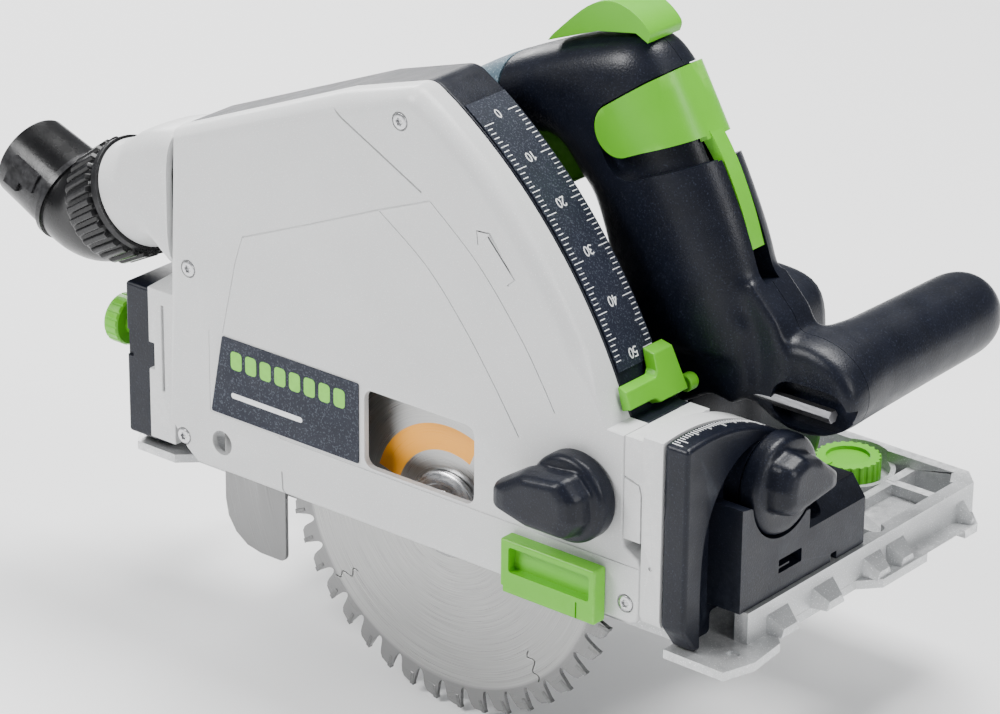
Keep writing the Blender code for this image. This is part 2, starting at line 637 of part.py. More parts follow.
def grip_section(at, inset, ring):
    """The grip's rounded section at a place between stations, drawn in by an inset."""
    low = min(int(at), len(GRIP) - 2)
    part = at - low
    (outer0, inner0, half0), (outer1, inner1, half1) = GRIP[low], GRIP[low + 1]
    outer = Vector(outer0).lerp(Vector(outer1), part)
    inner = Vector(inner0).lerp(Vector(inner1), part)
    half = half0 + (half1 - half0) * part - inset
    middle, reach = (outer + inner) / 2, (outer - inner) / 2
    reach *= 1 - inset / reach.length
    return [Vector((middle.x + reach.x * u, HANDLE_SPLIT_Y + half * v, middle.y + reach.y * u))
            for u, v in ring]


def grip_loft():
    return loft([grip_section(at, 0.0, squared_circle(24)) for at in range(len(GRIP))])


def grip_sleeve(start, end, inset, growth, reach):
    """A sleeve over the top and the sides of the grip, between two places along it; reach is in degrees."""
    over = [squared_point(math.radians(reach * k / 7)) for k in range(-7, 8)]
    return loft([grip_section(at, -growth, over) + list(reversed(grip_section(at, inset, over)))
                 for at in (start, 3.0, end)])


def squared_point(a):
    """The point at an angle on a unit circle pushed a little towards a square."""
    u, v = math.cos(a), math.sin(a)
    swell = (abs(u) ** GRIP_SQUARING + abs(v) ** GRIP_SQUARING) ** (-1 / GRIP_SQUARING)
    return u * swell, v * swell


def squared_circle(steps):
    return [squared_point(2 * math.pi * k / steps) for k in range(steps)]


def saddle_outline():
    """The foot of the handle: it sits on the motor housing and carries the column and the lobe."""
    seat = arc(MOTOR, MOTOR_R + 1.6, 24, 84, 6)
    front = [(86, 58), (96, 56), (103, 66), (100, 88), (90, 96), (60, 95), (36, 90), (-52, 87.5), (-74, 90),
             (-88, 98), (-92, 88), (-82, 77), (-60, 75.5)]
    return front + list(reversed(seat))


def bar_loft():
    """The front bar: a flattened lobe at its near end, then round, tapering to a rounded tip."""
    x, z = BAR_AXIS
    stations = [(47.0, x - 4, z - 1, 20.0, 14.0), (49.5, x - 4.5, z - 0.5, 23.5, 17.0),
                (56.0, x - 4.5, z - 0.1, 24.5, 18.2), (64.0, x - 3.5, z, 22.5, 18.2), (73.0, x - 1, z, 18.8, 17.8),
                (84.0, x, z, 17.3, 17.3), (143.0, x, z, 16.3, 16.3), (150.5, x, z, 14.0, 14.0),
                (155.8, x, z, 8.5, 8.5), (BAR_END_Y, x, z, 3.0, 3.0)]
    sections = []
    for y, x, z, half_x, half_z in stations:
        sections.append([Vector((x + half_x * math.cos(a), y, z + half_z * math.sin(a)))
                         for a in (2 * math.pi * k / 24 for k in range(24))])
    return loft(sections)


def column_prism(section, down0, down1):
    """Extrude a (front, y) section down the column."""
    return loft([[LEVER_ORIGIN + COLUMN_DOWN * down + COLUMN_FRONT * f + Vector((0, y, 0)) for f, y in section]
                 for down in (down0, down1)])


def column_ring(inset):
    """The column's section, drawn in by an inset."""
    return [(u * (COLUMN_DEPTH - inset), v * (COLUMN_WIDTH - inset)) for u, v in squared_circle(24)]


def lever_band(inset, growth):
    """The open band round the near side and the front of the column, between an inset and the surface."""
    ring = column_ring(-growth)
    inner = column_ring(inset)
    half = len(ring) // 2
    around = list(range(half + 4, 2 * half)) + list(range(0, 7))
    return [ring[k] for k in around] + [inner[k] for k in reversed(around)]


def lever_room():
    """What the column gives up so that the lever's band can slide along it."""
    return column_prism(lever_band(4.0, 6.0), BAND[0] - 0.5, BAND[1] + 8.6)


def trigger_pocket():
    return box((-26, HANDLE_SPLIT_Y - 8, 108), (24, HANDLE_SPLIT_Y + 8, 147))


def column_slot():
    """Groove down the front of the column for the lever's tab."""
    outline = [(66, 146), (80, 127), (93, 100), (112, 105), (96, 150), (74, 165)]
    return prism(outline, "Y", HANDLE_SPLIT_Y - 4.2, HANDLE_SPLIT_Y + 4.2)


def handle_half(name, side):
    """One half shell: grip, foot and bar joined, then parted along the middle plane."""
    half = piece(name, grip_loft(), "black_plastic")
    add(half, prism(saddle_outline(), "Y", HANDLE_NEAR_Y + 4.5, HANDLE_FAR_Y - 4.5), bar_loft())
    if side < 0:
        cut(half, box((-200, HANDLE_SPLIT_Y - GAP / 2, 0), (250, 300, 300)))
    else:
        cut(half, box((-200, 0, 0), (250, HANDLE_SPLIT_Y + GAP / 2, 300)))
    cut(half, trigger_pocket(), lever_room(), column_slot(), grip_sleeve(2.07, 3.4, 2.6, 4.0, 107))
    return half


def handle_shells():
    near = handle_half("handle_right_shell", -1)
    cut(near, slab((112, 54.5, 142, 71), 7, "Y", 40, 53), box((94, 40, 59), (160, 51.5, 66)))
    handle_half("handle_left_shell", 1)


# ---------------------------------------------------------------- controls

TRIGGER_PIVOT = (21.0, 138.0)
STOP_ANGLE = 23.2
STOP_CATCH = (83.0, 65.6)


def trigger():
    frame = make_frame("TRIGGER_AXIS", (TRIGGER_PIVOT[0], 0.0, TRIGGER_PIVOT[1]), SAW)
    outline = [(24, 141), (17, 142), (-22, 136.5), (-24, 128), (-16, 121.5), (-4, 117), (10, 116.5), (22, 124)]
    shape = prism(outline, "Y", HANDLE_SPLIT_Y - 7, HANDLE_SPLIT_Y + 7)
    return piece("trigger", shape, "green_plastic", frame, bevel=1.5)


def switch_module():
    return piece("switch_module", box((-24, HANDLE_SPLIT_Y - 7, 142.6), (10, HANDLE_SPLIT_Y + 7, 146.7)),
                 "black_plastic")


def lock_slider():
    """Green slide on the head of the handle; it moves forward and up its slope."""
    outline = [(5, 173.4), (28, 182.2), (45, 185.2), (50.5, 182.6), (51, 187), (44, 192.5), (34, 195),
               (23, 190.5), (9, 178)]
    return piece("lock_slider", prism(outline, "Y", 48, 67), "green_plastic", bevel=2.0, segments=2)


def blade_change_lever():
    """Band round the column with a tab down the front slot."""
    tab = [(70, 158), (76.4, 151.6), (83, 141.5), (90, 127), (95, 113.5), (92.4, 112.5), (87, 125.5),
           (80, 139), (70, 152)]
    lever = piece("blade_change_lever", column_prism(lever_band(2.9, 0.4), *BAND), "green_plastic")
    add(lever, prism(tab, "Y", HANDLE_SPLIT_Y - 3.6, HANDLE_SPLIT_Y + 3.6))
    return lever


def hex_key():
    centre = (48.3, 62.5)
    return piece("hex_key", rod("X", centre, 2.9, 100.0, 137.0, 6), "machined_steel")


def tangent_block(along0, along1, out0, out1, y0, y1):
    """A block on the scale band, drawn along the band and outward from its surface."""
    a = math.radians(STOP_ANGLE)
    outward, along = Vector((math.cos(a), 0, math.sin(a))), Vector((-math.sin(a), 0, math.cos(a)))
    foot = Vector((ARC_CENTRE[0], 0, ARC_CENTRE[1])) + outward * (ARC_R + 1.1)
    corners = [(along0, out0), (along1, out0), (along1, out1), (along0, out1)]
    return loft([[foot + along * s + outward * r + Vector((0, y, 0)) for s, r in corners] for y in (y0, y1)])


def depth_stop():
    frame = make_frame("STOP_ARC_AXIS", (ARC_CENTRE[0], 0.0, ARC_CENTRE[1]), SAW)
    stop = piece("depth_stop", tangent_block(-4.6, 4.2, 0.0, 5.0, -3.0, 18.0), "green_plastic", frame)
    add(stop, tangent_block(-6.8, 13.2, 0.05, 4.9, 15.5, 28.4), tangent_block(-6.7, 2.0, 0.1, 4.8, 28, 29.4),
        tangent_block(-6.6, 13.0, -9, 2.0, 26.6, 29.4), frame=frame)
    piece("stop_catch", rod("Y", STOP_CATCH, 3.4, 31.2, 36.6, 14), "green_plastic", frame)


def splinter_guard():
    plate = box((39.6, -19.0, -12.3), (83.2, COVER_Y - 0.3, 9.2))
    guard = piece("splinter_guard", plate, "green_plastic", bevel=0.8)
    cut(guard, slab((43.5, -3.5, 80.5, 6.5), 1.0, "Y", -21, -15.5))
    return guard


def wing_knob(name, axis, centre, foot, sign, finish, points, frame, radius=17.0):
    """Disc with a tapered wing grip; foot is where the disc starts and sign the way it faces."""
    disc_low, disc_high = sorted((foot, foot + sign * 9))
    knob = piece(name, rod(axis, centre, radius, disc_low, disc_high, 24), finish, frame, bevel=1.2)
    wing_low, wing_high = sorted((foot + sign * 8.4, foot + sign * 19))
    outline = [(centre[0] + u, centre[1] + v) for u, v in points]
    add(knob, prism(outline, axis, wing_low, wing_high), frame=frame)
    return knob


def knobs():
    centre = (70.5, 34.5)
    frame = make_frame("GUARD_KNOB_AXIS", (centre[0], 0.0, centre[1]), SAW)
    wing = [(-30, -9), (-30, 1), (-12, 12), (8, 12), (13, 4), (13, -4), (8, -12), (-12, -12)]
    wing_knob("splinter_guard_knob", "Y", centre, COVER_Y - 0.4, -1, "black_plastic", wing, frame)
    frame = make_frame("FRONT_KNOB_AXIS", (0.0, *FRONT_KNOB), SAW)
    wing = [(-15, 4), (-12, 13), (-3, 16), (9, 11), (21, 1), (21, -5), (-9, -8), (-15, -4)]
    wing_knob("front_bevel_knob", "X", FRONT_KNOB, 118.6, 1, "black_plastic", wing, frame, FRONT_KNOB_R)
    centre = (40.0, 24.0)
    frame = make_frame("REAR_KNOB_AXIS", (0.0, centre[0], centre[1]), SAW)
    wing = [(-12, 8), (-8, 13), (8, 13), (24, 4), (24, -5), (-4, -12), (-12, -6)]
    wing_knob("rear_bevel_knob", "X", centre, -160.4, -1, "black_plastic", wing, frame)
    centre = (12.0, 25.0)
    frame = make_frame("UNDERCUT_KNOB_AXIS", (0.0, centre[0], centre[1]), SAW)
    knob = piece("undercut_knob", rod("X", centre, 10.0, -180.0, -172.0, 20), "green_plastic", frame)
    add(knob, rod("X", centre, 5.0, -173.0, -160.4, 16), frame=frame)


def guide_cams():
    for name, x in zip(("front_guide_cam", "rear_guide_cam"), CAM_X):
        frame = make_frame(name.upper() + "_AXIS", (x, CAM_Y, 0.0), SAW)
        teeth = 20
        outline = []
        for i in range(teeth):
            for offset, radius in ((0.0, 12.0), (0.5, 12.9)):
                a = 2 * math.pi * (i + offset) / teeth
                outline.append((x + radius * math.cos(a), CAM_Y + radius * math.sin(a)))
        piece(name, prism(outline, "Z", -13.4, -4.5), "green_plastic", frame)


COLLAR_LENGTH = 22.0
BEND_AT = 30.0
STUB_DIRECTION = Vector((-0.942, 0.074, 0.328)).normalized()
STUB_LENGTH = 41.0
PORT_AXIS = make_frame("DUST_PORT_AXIS", tuple(SPOUT_END), SAW)


def along_spout(distance):
    return SPOUT_END + SPOUT_DIRECTION * distance


def dust_collar():
    """Ribbed collar that turns on the end of the spout."""
    profile = [(19.0, 0.3), (23.5, 0.3), (23.5, 3.4), (22.4, 3.8), (24.4, 5.0), (23.0, COLLAR_LENGTH),
               (19.0, COLLAR_LENGTH)]
    rings = [ring_across(along_spout(at), SPOUT_DIRECTION, r, r, 26) for r, at in profile]
    return piece("dust_collar", loft(rings, closed=True), "port_plastic", PORT_AXIS, smooth=True)


def dust_elbow():
    """Elbow that turns with the collar: a round neck on its axis and a tapered stub that leaves at an angle."""
    bend = along_spout(BEND_AT)
    halfway = (SPOUT_DIRECTION + STUB_DIRECTION).normalized()
    stations = [(along_spout(COLLAR_LENGTH + GAP), SPOUT_DIRECTION, 21.0),
                (bend + halfway * 1.5, halfway, 20.4),
                (bend + STUB_DIRECTION * 11.5, STUB_DIRECTION, 18.4),
                (bend + STUB_DIRECTION * STUB_LENGTH, STUB_DIRECTION, 17.2)]
    outside = [ring_across(at, normal, r, r, 24) for at, normal, r in stations]
    inside = [ring_across(at, normal, r - 2.4, r - 2.4, 24) for at, normal, r in reversed(stations)]
    return piece("dust_elbow", loft(outside + inside, closed=True), "port_plastic", PORT_AXIS, smooth=True)


def grip_pad():
    """Soft sleeve over the rear of the grip, flush with it."""
    return piece("grip_pad", grip_sleeve(2.1, 3.36, 2.0, 0.0, 105), "grip_rubber")


def power_inlet():
    """Bayonet inlet for a detachable lead, at the rear end of the grip."""
    profile = [(4.0, -92.3), (11.0, -92.3), (11.0, -99), (12.5, -99), (12.5, -106), (10.5, -106),
               (10.5, -96.0), (4.0, -96.0)]
    shape = turned(profile, "X", (HANDLE_SPLIT_Y, 98.0), 24)
    return piece("power_inlet", shape, "port_plastic", smooth=True)


# ---------------------------------------------------------------- build

base_plate()
front_segment()
rear_segment()
side_cover()
guard_housing()
dust_spout()
label_plate()
depth_scale()
front_end_block()
rear_end_block()
cover_screws()
pivot_pin()
plunge_spring()
riving_knife()
saw_blade()
spindle_pieces()
gear_train()
motor_pieces()
bearings()
gear_case()
gear_cover()
motor_housing()
motor_end_cap()
handle_shells()
trigger()
switch_module()
lock_slider()
blade_change_lever()
hex_key()
depth_stop()
splinter_guard()
knobs()
guide_cams()
dust_collar()
dust_elbow()
power_inlet()
grip_pad()
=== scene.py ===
"""Track plunge saw: the finished look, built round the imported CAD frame.

Pieces are drawn in the saw's own frame, in millimetres: origin at the blade's centre, +X to the front,
+Y to the motor side, +Z up. raw() turns a shape, and place() a point, into the row frame, in metres.
"""

import json
import math

import bmesh
import bpy
from mathutils import Matrix, Vector


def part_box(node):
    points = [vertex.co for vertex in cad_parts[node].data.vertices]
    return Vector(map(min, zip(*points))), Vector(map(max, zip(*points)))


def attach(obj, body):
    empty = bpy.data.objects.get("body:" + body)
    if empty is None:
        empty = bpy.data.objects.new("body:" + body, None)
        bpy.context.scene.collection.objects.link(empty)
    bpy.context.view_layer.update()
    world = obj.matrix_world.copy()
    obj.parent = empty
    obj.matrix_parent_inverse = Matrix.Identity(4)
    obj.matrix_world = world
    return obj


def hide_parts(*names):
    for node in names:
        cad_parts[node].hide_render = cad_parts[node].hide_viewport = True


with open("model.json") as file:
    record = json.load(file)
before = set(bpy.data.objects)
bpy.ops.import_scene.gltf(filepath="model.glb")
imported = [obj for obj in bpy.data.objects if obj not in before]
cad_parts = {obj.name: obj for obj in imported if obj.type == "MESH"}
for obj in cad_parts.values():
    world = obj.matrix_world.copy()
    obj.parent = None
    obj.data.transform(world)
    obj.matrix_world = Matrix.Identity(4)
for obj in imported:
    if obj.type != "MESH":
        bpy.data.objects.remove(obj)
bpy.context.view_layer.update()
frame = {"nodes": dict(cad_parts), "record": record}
NODES = frame["nodes"]
MM = 0.001

blade_low, blade_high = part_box("saw_blade")
BLADE_CENTRE = (blade_low + blade_high) / 2

COVER_Y = -12.0
SHELL_SPLIT_Y = 1.5
HOUSING_BACK_Y = 26.0
ARC_CENTRE = (-116.2, -14.2)
ARC_R = 211.5
HOUSING_ARC = (24.3, 58.2)
HOUSING_REAR_X = -130.8
PLUNGE_PIVOT = (-103.7, 1.2)
SPLIT_Y = 57.5
BASE_Z = -21.0
BEVEL_AXIS = (0.0, BASE_Z)
BEVEL_R = 86.0
MOTOR = (32.17, 32.17)
MOTOR_R = 41.0
MOTOR_END = (33.5, 33.0, 42.5, 41.0)
MOTOR_START_Y, MOTOR_SPLIT_Y = 53.3, 114.0


def place(x, y, z):
    return BLADE_CENTRE + Vector((x, y, z)) * MM


# ---------------------------------------------------------------- materials

DARK_COLOUR = 0.05
DARK_SPECULAR, PALE_SPECULAR = 0.26, 0.38
NOISE_ROUGHNESS = 0.55
NOISE_MIDDLE = (0.3, 0.7)
EDGE_POINTINESS = (0.53, 0.62)
FULL = (0.0, 1.0)


class Finish:
    """A node material on object coordinates, which are the row frame's, in metres."""

    def __init__(self, name, colour, roughness, metallic=0.0):
        self.material = bpy.data.materials.new(name)
        self.material.use_nodes = True
        self.tree = self.material.node_tree
        self.shader = self.tree.nodes["Principled BSDF"]
        self.shader.inputs["Metallic"].default_value = metallic
        self.colour = colour
        self.roughness = roughness
        if not metallic:
            specular = DARK_SPECULAR if max(colour) < DARK_COLOUR else PALE_SPECULAR
            self.shader.inputs["Specular IOR Level"].default_value = specular
        self.coords = self.node("TexCoord").outputs["Object"]
        self.paint = None

    def node(self, kind, sockets=()):
        """A new node; each (socket, value) is a number, or another node's output to link."""
        node = self.tree.nodes.new("ShaderNode" + kind)
        for name, value in sockets:
            if isinstance(value, bpy.types.NodeSocket):
                self.tree.links.new(value, node.inputs[name])
            else:
                node.inputs[name].default_value = value
        return node

    def link(self, value, name):
        """Feed one of the shader's sockets."""
        self.tree.links.new(value, self.shader.inputs[name])

    def noise(self, scale, detail=3.0, vector=None):
        return self.node("TexNoise", (("Scale", scale), ("Detail", detail), ("Roughness", NOISE_ROUGHNESS),
                                      ("Vector", vector or self.coords))).outputs["Fac"]

    def stretched(self, x, y, z):
        return self.node("Mapping", (("Scale", (x, y, z)), ("Vector", self.coords))).outputs["Vector"]

    def remap(self, value, source, target):
        """A value's (low, high) range turned into another."""
        limits = zip(("From Min", "From Max", "To Min", "To Max"), (*source, *target))
        return self.node("MapRange", (*limits, ("Value", value))).outputs["Result"]

    def maths(self, operation, *values):
        node = self.node("Math", enumerate(values))
        node.operation = operation
        return node.outputs["Value"]

    def mix(self, factor, first, second):
        """first and second are (red, green, blue) colours or sockets."""
        node = self.node("Mix", (("Factor", factor),))
        node.data_type = "RGBA"
        for socket, value in zip([s for s in node.inputs if s.type == "RGBA"], (first, second)):
            if isinstance(value, tuple):
                socket.default_value = (*value, 1.0)
            else:
                self.tree.links.new(value, socket)
        return next(s for s in node.outputs if s.type == "RGBA")

    def shade(self, amount):
        """The base colour lightened or darkened."""
        return tuple(min(1.0, c * amount) for c in self.colour)

    def vary(self, scale, spread, detail=3.0, vector=None):
        """Colour variation between a darker and a lighter shade. Every finish starts with it."""
        value = self.remap(self.noise(scale, detail, vector), NOISE_MIDDLE, FULL)
        self.paint = self.mix(value, self.shade(1 - spread), self.shade(1 + spread))
        return self

    def speckle(self, scale, light, above=0.6):
        """Small light specks, as a grained surface scatters."""
        value = self.remap(self.noise(scale, 1.0), (above, above + 0.14), FULL)
        self.paint = self.mix(value, self.paint, light)
        return self

    def wear(self, light, amount):
        """Edges rubbed lighter, unevenly."""
        edge = self.remap(self.node("NewGeometry").outputs["Pointiness"], EDGE_POINTINESS, (0.0, amount))
        broken = self.maths("MULTIPLY", edge, self.remap(self.noise(320, 3), (0.35, 0.65), (0.2, 1.0)))
        self.paint = self.mix(broken, self.paint, light)
        return self

    def grain(self, scale, strength, detail=2.0, vector=None, distance=0.0002):
        """Fine relief; its distance is in metres."""
        bump = self.node("Bump", (("Strength", strength), ("Distance", distance),
                                  ("Height", self.noise(scale, detail, vector))))
        self.link(bump.outputs["Normal"], "Normal")
        return self

    def satin(self, scale, spread, vector=None):
        """Roughness that varies about the finish's own."""
        rough = (self.roughness - spread, self.roughness + spread)
        self.link(self.remap(self.noise(scale, 3, vector), NOISE_MIDDLE, rough), "Roughness")
        return self

    def done(self):
        self.link(self.paint, "Base Color")
        return self.material


def polar_coords(finish, centre, along, around):
    """A vector of (radius, turn) about an axis along Y, each stretched, and then both of them bare."""
    split = finish.node("SeparateXYZ", (("Vector", finish.coords),))
    x = finish.maths("SUBTRACT", split.outputs["X"], centre.x)
    z = finish.maths("SUBTRACT", split.outputs["Z"], centre.z)
    squares = finish.maths("ADD", finish.maths("MULTIPLY", x, x), finish.maths("MULTIPLY", z, z))
    radius = finish.maths("SQRT", squares)
    turn = finish.maths("ARCTAN2", z, x)
    vector = finish.node("CombineXYZ", (("X", finish.maths("MULTIPLY", radius, along)),
                                        ("Y", finish.maths("MULTIPLY", turn, around))))
    return vector.outputs["Vector"], radius, turn


BLADE_RIM = (0.0690, 0.0705)
PRINTED_RING = (0.0248, 0.0352)
PRINTED_TURN, PRINTED_COSINE = 2.0, 0.66


def blade_finish():
    """Concentrically ground steel with a duller rim and one printed orange sector; radii are in metres."""
    finish = Finish("ground_blade_steel", (0.40, 0.40, 0.395), 0.33, 1.0)
    rings, radius, turn = polar_coords(finish, BLADE_CENTRE, 2600.0, 1.5)
    finish.vary(1.0, 0.2, 4.0, rings).satin(1.0, 0.09, rings).grain(1.0, 0.12, 2.0, rings, 0.0001)
    tangent = finish.node("Tangent")
    tangent.direction_type = "RADIAL"
    tangent.axis = "Y"
    finish.link(tangent.outputs["Tangent"], "Tangent")
    finish.paint = finish.mix(finish.remap(radius, BLADE_RIM, FULL), finish.paint, (0.25, 0.25, 0.25))
    inside = finish.maths("MULTIPLY", finish.maths("GREATER_THAN", radius, PRINTED_RING[0]),
                          finish.maths("LESS_THAN", radius, PRINTED_RING[1]))
    cosine = finish.maths("COSINE", finish.maths("SUBTRACT", turn, PRINTED_TURN))
    printed = finish.maths("MULTIPLY", inside, finish.maths("GREATER_THAN", cosine, PRINTED_COSINE))
    finish.paint = finish.mix(printed, finish.paint, (0.95, 0.38, 0.01))
    finish.link(finish.maths("SUBTRACT", 1.0, printed), "Metallic")
    finish.shader.inputs["Anisotropic"].default_value = 0.75
    return finish.done()


def turned_finish(name, colour, roughness):
    finish = Finish(name, colour, roughness, 1.0)
    lines = finish.stretched(220.0, 2400.0, 220.0)
    finish.vary(1.0, 0.12, 3.0, lines).satin(1.0, 0.08, lines)
    return finish.grain(1.0, 0.12, 2.0, lines, 0.0001).done()


def ink(name, colour, spread):
    return Finish(name, colour, 0.5).vary(500, spread).grain(900, 0.15).satin(200, 0.06).done()


COVER = (Finish("satin_grey_paint", (0.62, 0.625, 0.625), 0.34)
         .vary(28, 0.025).speckle(2600, (0.86, 0.86, 0.86), 0.62)
         .wear((0.84, 0.84, 0.84), 0.35).grain(1700, 0.22).satin(60, 0.05).done())
CAST = (Finish("blasted_aluminium", (0.50, 0.51, 0.515), 0.42, 0.6)
        .vary(55, 0.07).speckle(1900, (0.85, 0.85, 0.86), 0.6)
        .wear((0.9, 0.9, 0.9), 0.6).grain(1300, 0.4).satin(80, 0.08).done())
BLACK = (Finish("grained_black_plastic", (0.0045, 0.0058, 0.0115), 0.36)
         .vary(70, 0.2).speckle(1500, (0.018, 0.022, 0.036), 0.6)
         .wear((0.05, 0.058, 0.075), 0.3).grain(1250, 0.4).satin(90, 0.06).done())
SMOOTH_BLACK = (Finish("semi_gloss_black", (0.0045, 0.0045, 0.005), 0.27)
                .vary(60, 0.25).wear((0.08, 0.08, 0.085), 0.4).grain(900, 0.22).satin(90, 0.07).done())
GREEN = (Finish("lime_green_plastic", (0.115, 0.46, 0.014), 0.36)
         .vary(45, 0.05).wear((0.3, 0.7, 0.12), 0.35).grain(1100, 0.16).satin(80, 0.06).done())
RUBBER = (Finish("blue_grey_rubber", (0.055, 0.095, 0.125), 0.6)
          .vary(60, 0.12).speckle(1100, (0.16, 0.23, 0.27), 0.56).grain(900, 0.7, distance=0.0003)
          .satin(90, 0.08).done())
FILM = (Finish("printed_film", (0.011, 0.014, 0.025), 0.5)
        .vary(80, 0.12).speckle(1500, (0.06, 0.068, 0.09), 0.56).grain(1200, 0.35).satin(90, 0.06).done())
WHITE_INK = ink("white_ink", (0.82, 0.83, 0.84), 0.05)
GREEN_INK = ink("green_ink", (0.2, 0.6, 0.06), 0.06)
CARBIDE = (Finish("carbide", (0.2, 0.2, 0.2), 0.4, 0.9)
           .vary(900, 0.2).grain(2200, 0.3).satin(400, 0.1).done())
BLADE = blade_finish()
STEEL = turned_finish("turned_steel", (0.58, 0.58, 0.59), 0.28)
COPPER = turned_finish("drawn_copper", (0.62, 0.28, 0.12), 0.33)
IRON = turned_finish("laminated_iron", (0.16, 0.16, 0.17), 0.5)

SLOT_FINISH = {"cover_paint": COVER, "cast_aluminium": CAST, "black_plastic": BLACK,
               "port_plastic": SMOOTH_BLACK,
               "green_plastic": GREEN, "grip_rubber": RUBBER, "label_print": FILM, "blade_steel": BLADE,
               "machined_steel": STEEL, "copper": COPPER, "motor_iron": IRON}
NODE_SLOT = {row["node"]: row["material_slot"] for row in frame["record"]["subparts"]}


# ---------------------------------------------------------------- drawing shapes

def lift(axis, u, v, along):
    if axis == "X":
        return Vector((along, u, v))
    if axis == "Y":
        return Vector((u, along, v))
    return Vector((u, v, along))


def prism(outline, axis, low, high):
    """Extrude a closed outline along an axis. Outlines are (y, z), (x, z) or (x, y)."""
    shape = bmesh.new()
    face = shape.faces.new([shape.verts.new(lift(axis, u, v, low)) for u, v in outline])
    moved = bmesh.ops.extrude_face_region(shape, geom=[face])
    bmesh.ops.translate(shape, vec=lift(axis, 0.0, 0.0, high - low),
                        verts=[v for v in moved["geom"] if isinstance(v, bmesh.types.BMVert)])
    return shape


def turns(steps):
    """Angles spread evenly round a circle."""
    return [2 * math.pi * k / steps for k in range(steps)]


def around(centre, radius, angle):
    return centre[0] + radius * math.cos(angle), centre[1] + radius * math.sin(angle)


def squared_point(angle, power=2.5):
    """A point on a circle swelled towards a square; a power of 2 leaves it round."""
    u, v = math.cos(angle), math.sin(angle)
    swell = (abs(u) ** power + abs(v) ** power) ** (-1 / power)
    return u * swell, v * swell


def squared_circle(steps):
    return [squared_point(a) for a in turns(steps)]


def square_to(direction):
    """Two directions square to one: the side nearest +Y, and up."""
    side = (Vector((0, 1, 0)) - direction * direction.y).normalized()
    return side, side.cross(direction)


def at_x(outline, x):
    return [Vector((x, y, z)) for y, z in outline]


def box(low, high):
    corners = [(low[0], low[1]), (high[0], low[1]), (high[0], high[1]), (low[0], high[1])]
    return prism(corners, "Z", low[2], high[2])


def arc(centre, radius, start, end, steps):
    return [around(centre, radius, math.radians(start + (end - start) * i / steps))
            for i in range(steps + 1)]


def circle(centre, radius, steps=48):
    return arc(centre, radius, 0.0, 360.0 - 360.0 / steps, steps - 1)


def rounded(corners, steps=6):
    """An outline from (u, v, radius) corners."""
    outline = []
    count = len(corners)
    for i, (u, v, radius) in enumerate(corners):
        here = Vector((u, v))
        if radius <= 0:
            outline.append((u, v))
            continue
        before = (Vector(corners[i - 1][:2]) - here).normalized()
        after = (Vector(corners[(i + 1) % count][:2]) - here).normalized()
        half = before.angle(after) / 2
        reach = radius / math.tan(half)
        middle = here + (before + after).normalized() * (radius / math.sin(half))
        first = here + before * reach - middle
        sweep = first.angle_signed(here + after * reach - middle)
        outline += [tuple(middle + Matrix.Rotation(-sweep * k / steps, 2) @ first)
                    for k in range(steps + 1)]
    return outline


def slab(corners, radius, axis, low, high):
    u0, v0, u1, v1 = corners
    ring = [(u0, v0, radius), (u1, v0, radius), (u1, v1, radius), (u0, v1, radius)]
    return prism(rounded(ring), axis, low, high)


def rod(axis, centre, radius, low, high, steps=48):
    return prism(circle(centre, radius, steps), axis, low, high)


def loft(sections, closed=False):
    shape = bmesh.new()
    rings = [[shape.verts.new(point) for point in section] for section in sections]
    count = len(rings[0])
    for first, second in zip(rings, rings[1:] + rings[:1] if closed else rings[1:]):
        for k in range(count):
            after = (k + 1) % count
            shape.faces.new((first[k], first[after], second[after], second[k]))
    if not closed:
        shape.faces.new(rings[0])
        shape.faces.new(rings[-1])
    return shape


def turned(profile, axis, centre, steps=64):
    """Revolve a closed (radius, along) profile about an axis through centre."""
    return loft([[lift(axis, *around(centre, r, a), along) for r, along in profile] for a in turns(steps)],
                closed=True)


def ring_across(centre, normal, radius, steps):
    side, up = square_to(normal)
    return [centre + side * radius * math.cos(a) + up * radius * math.sin(a) for a in turns(steps)]


def ribbon(points, width, axis, low, high):
    """A narrow strip that follows a line of points."""
    left, right = [], []
    for i, point in enumerate(points):
        before = Vector(points[max(i - 1, 0)])
        after = Vector(points[min(i + 1, len(points) - 1)])
        along = (after - before).normalized()
        across = Vector((-along.y, along.x)) * width / 2
        left.append(tuple(Vector(point) + across))
        right.append(tuple(Vector(point) - across))
    return prism(left + right[::-1], axis, low, high)


def smooth_line(points, steps=8):
    """A Catmull-Rom curve through points of any dimension."""
    ends = [Vector(p) for p in points]
    line = []
    for i in range(len(ends) - 1):
        a, b, c, d = ends[max(i - 1, 0)], ends[i], ends[i + 1], ends[min(i + 2, len(ends) - 1)]
        for k in range(steps):
            t = k / steps
            line.append(0.5 * ((2 * b) + (c - a) * t + (2 * a - 5 * b + 4 * c - d) * t ** 2
                               + (3 * b - a - 3 * c + d) * t ** 3))
    return line + [ends[-1]]


def mesh_of(name, shape):
    mesh = bpy.data.meshes.new(name)
    shape.to_mesh(mesh)
    shape.free()
    return mesh


def joined(*shapes):
    """Several shapes in one mesh, as they are."""
    whole = bmesh.new()
    for shape in shapes:
        bmesh.ops.recalc_face_normals(shape, faces=shape.faces)
        mesh = mesh_of("joined_tmp", shape)
        whole.from_mesh(mesh)
        bpy.data.meshes.remove(mesh)
    return whole


# ---------------------------------------------------------------- making pieces

def linked(name, data):
    obj = bpy.data.objects.new(name, data)
    bpy.context.scene.collection.objects.link(obj)
    return obj


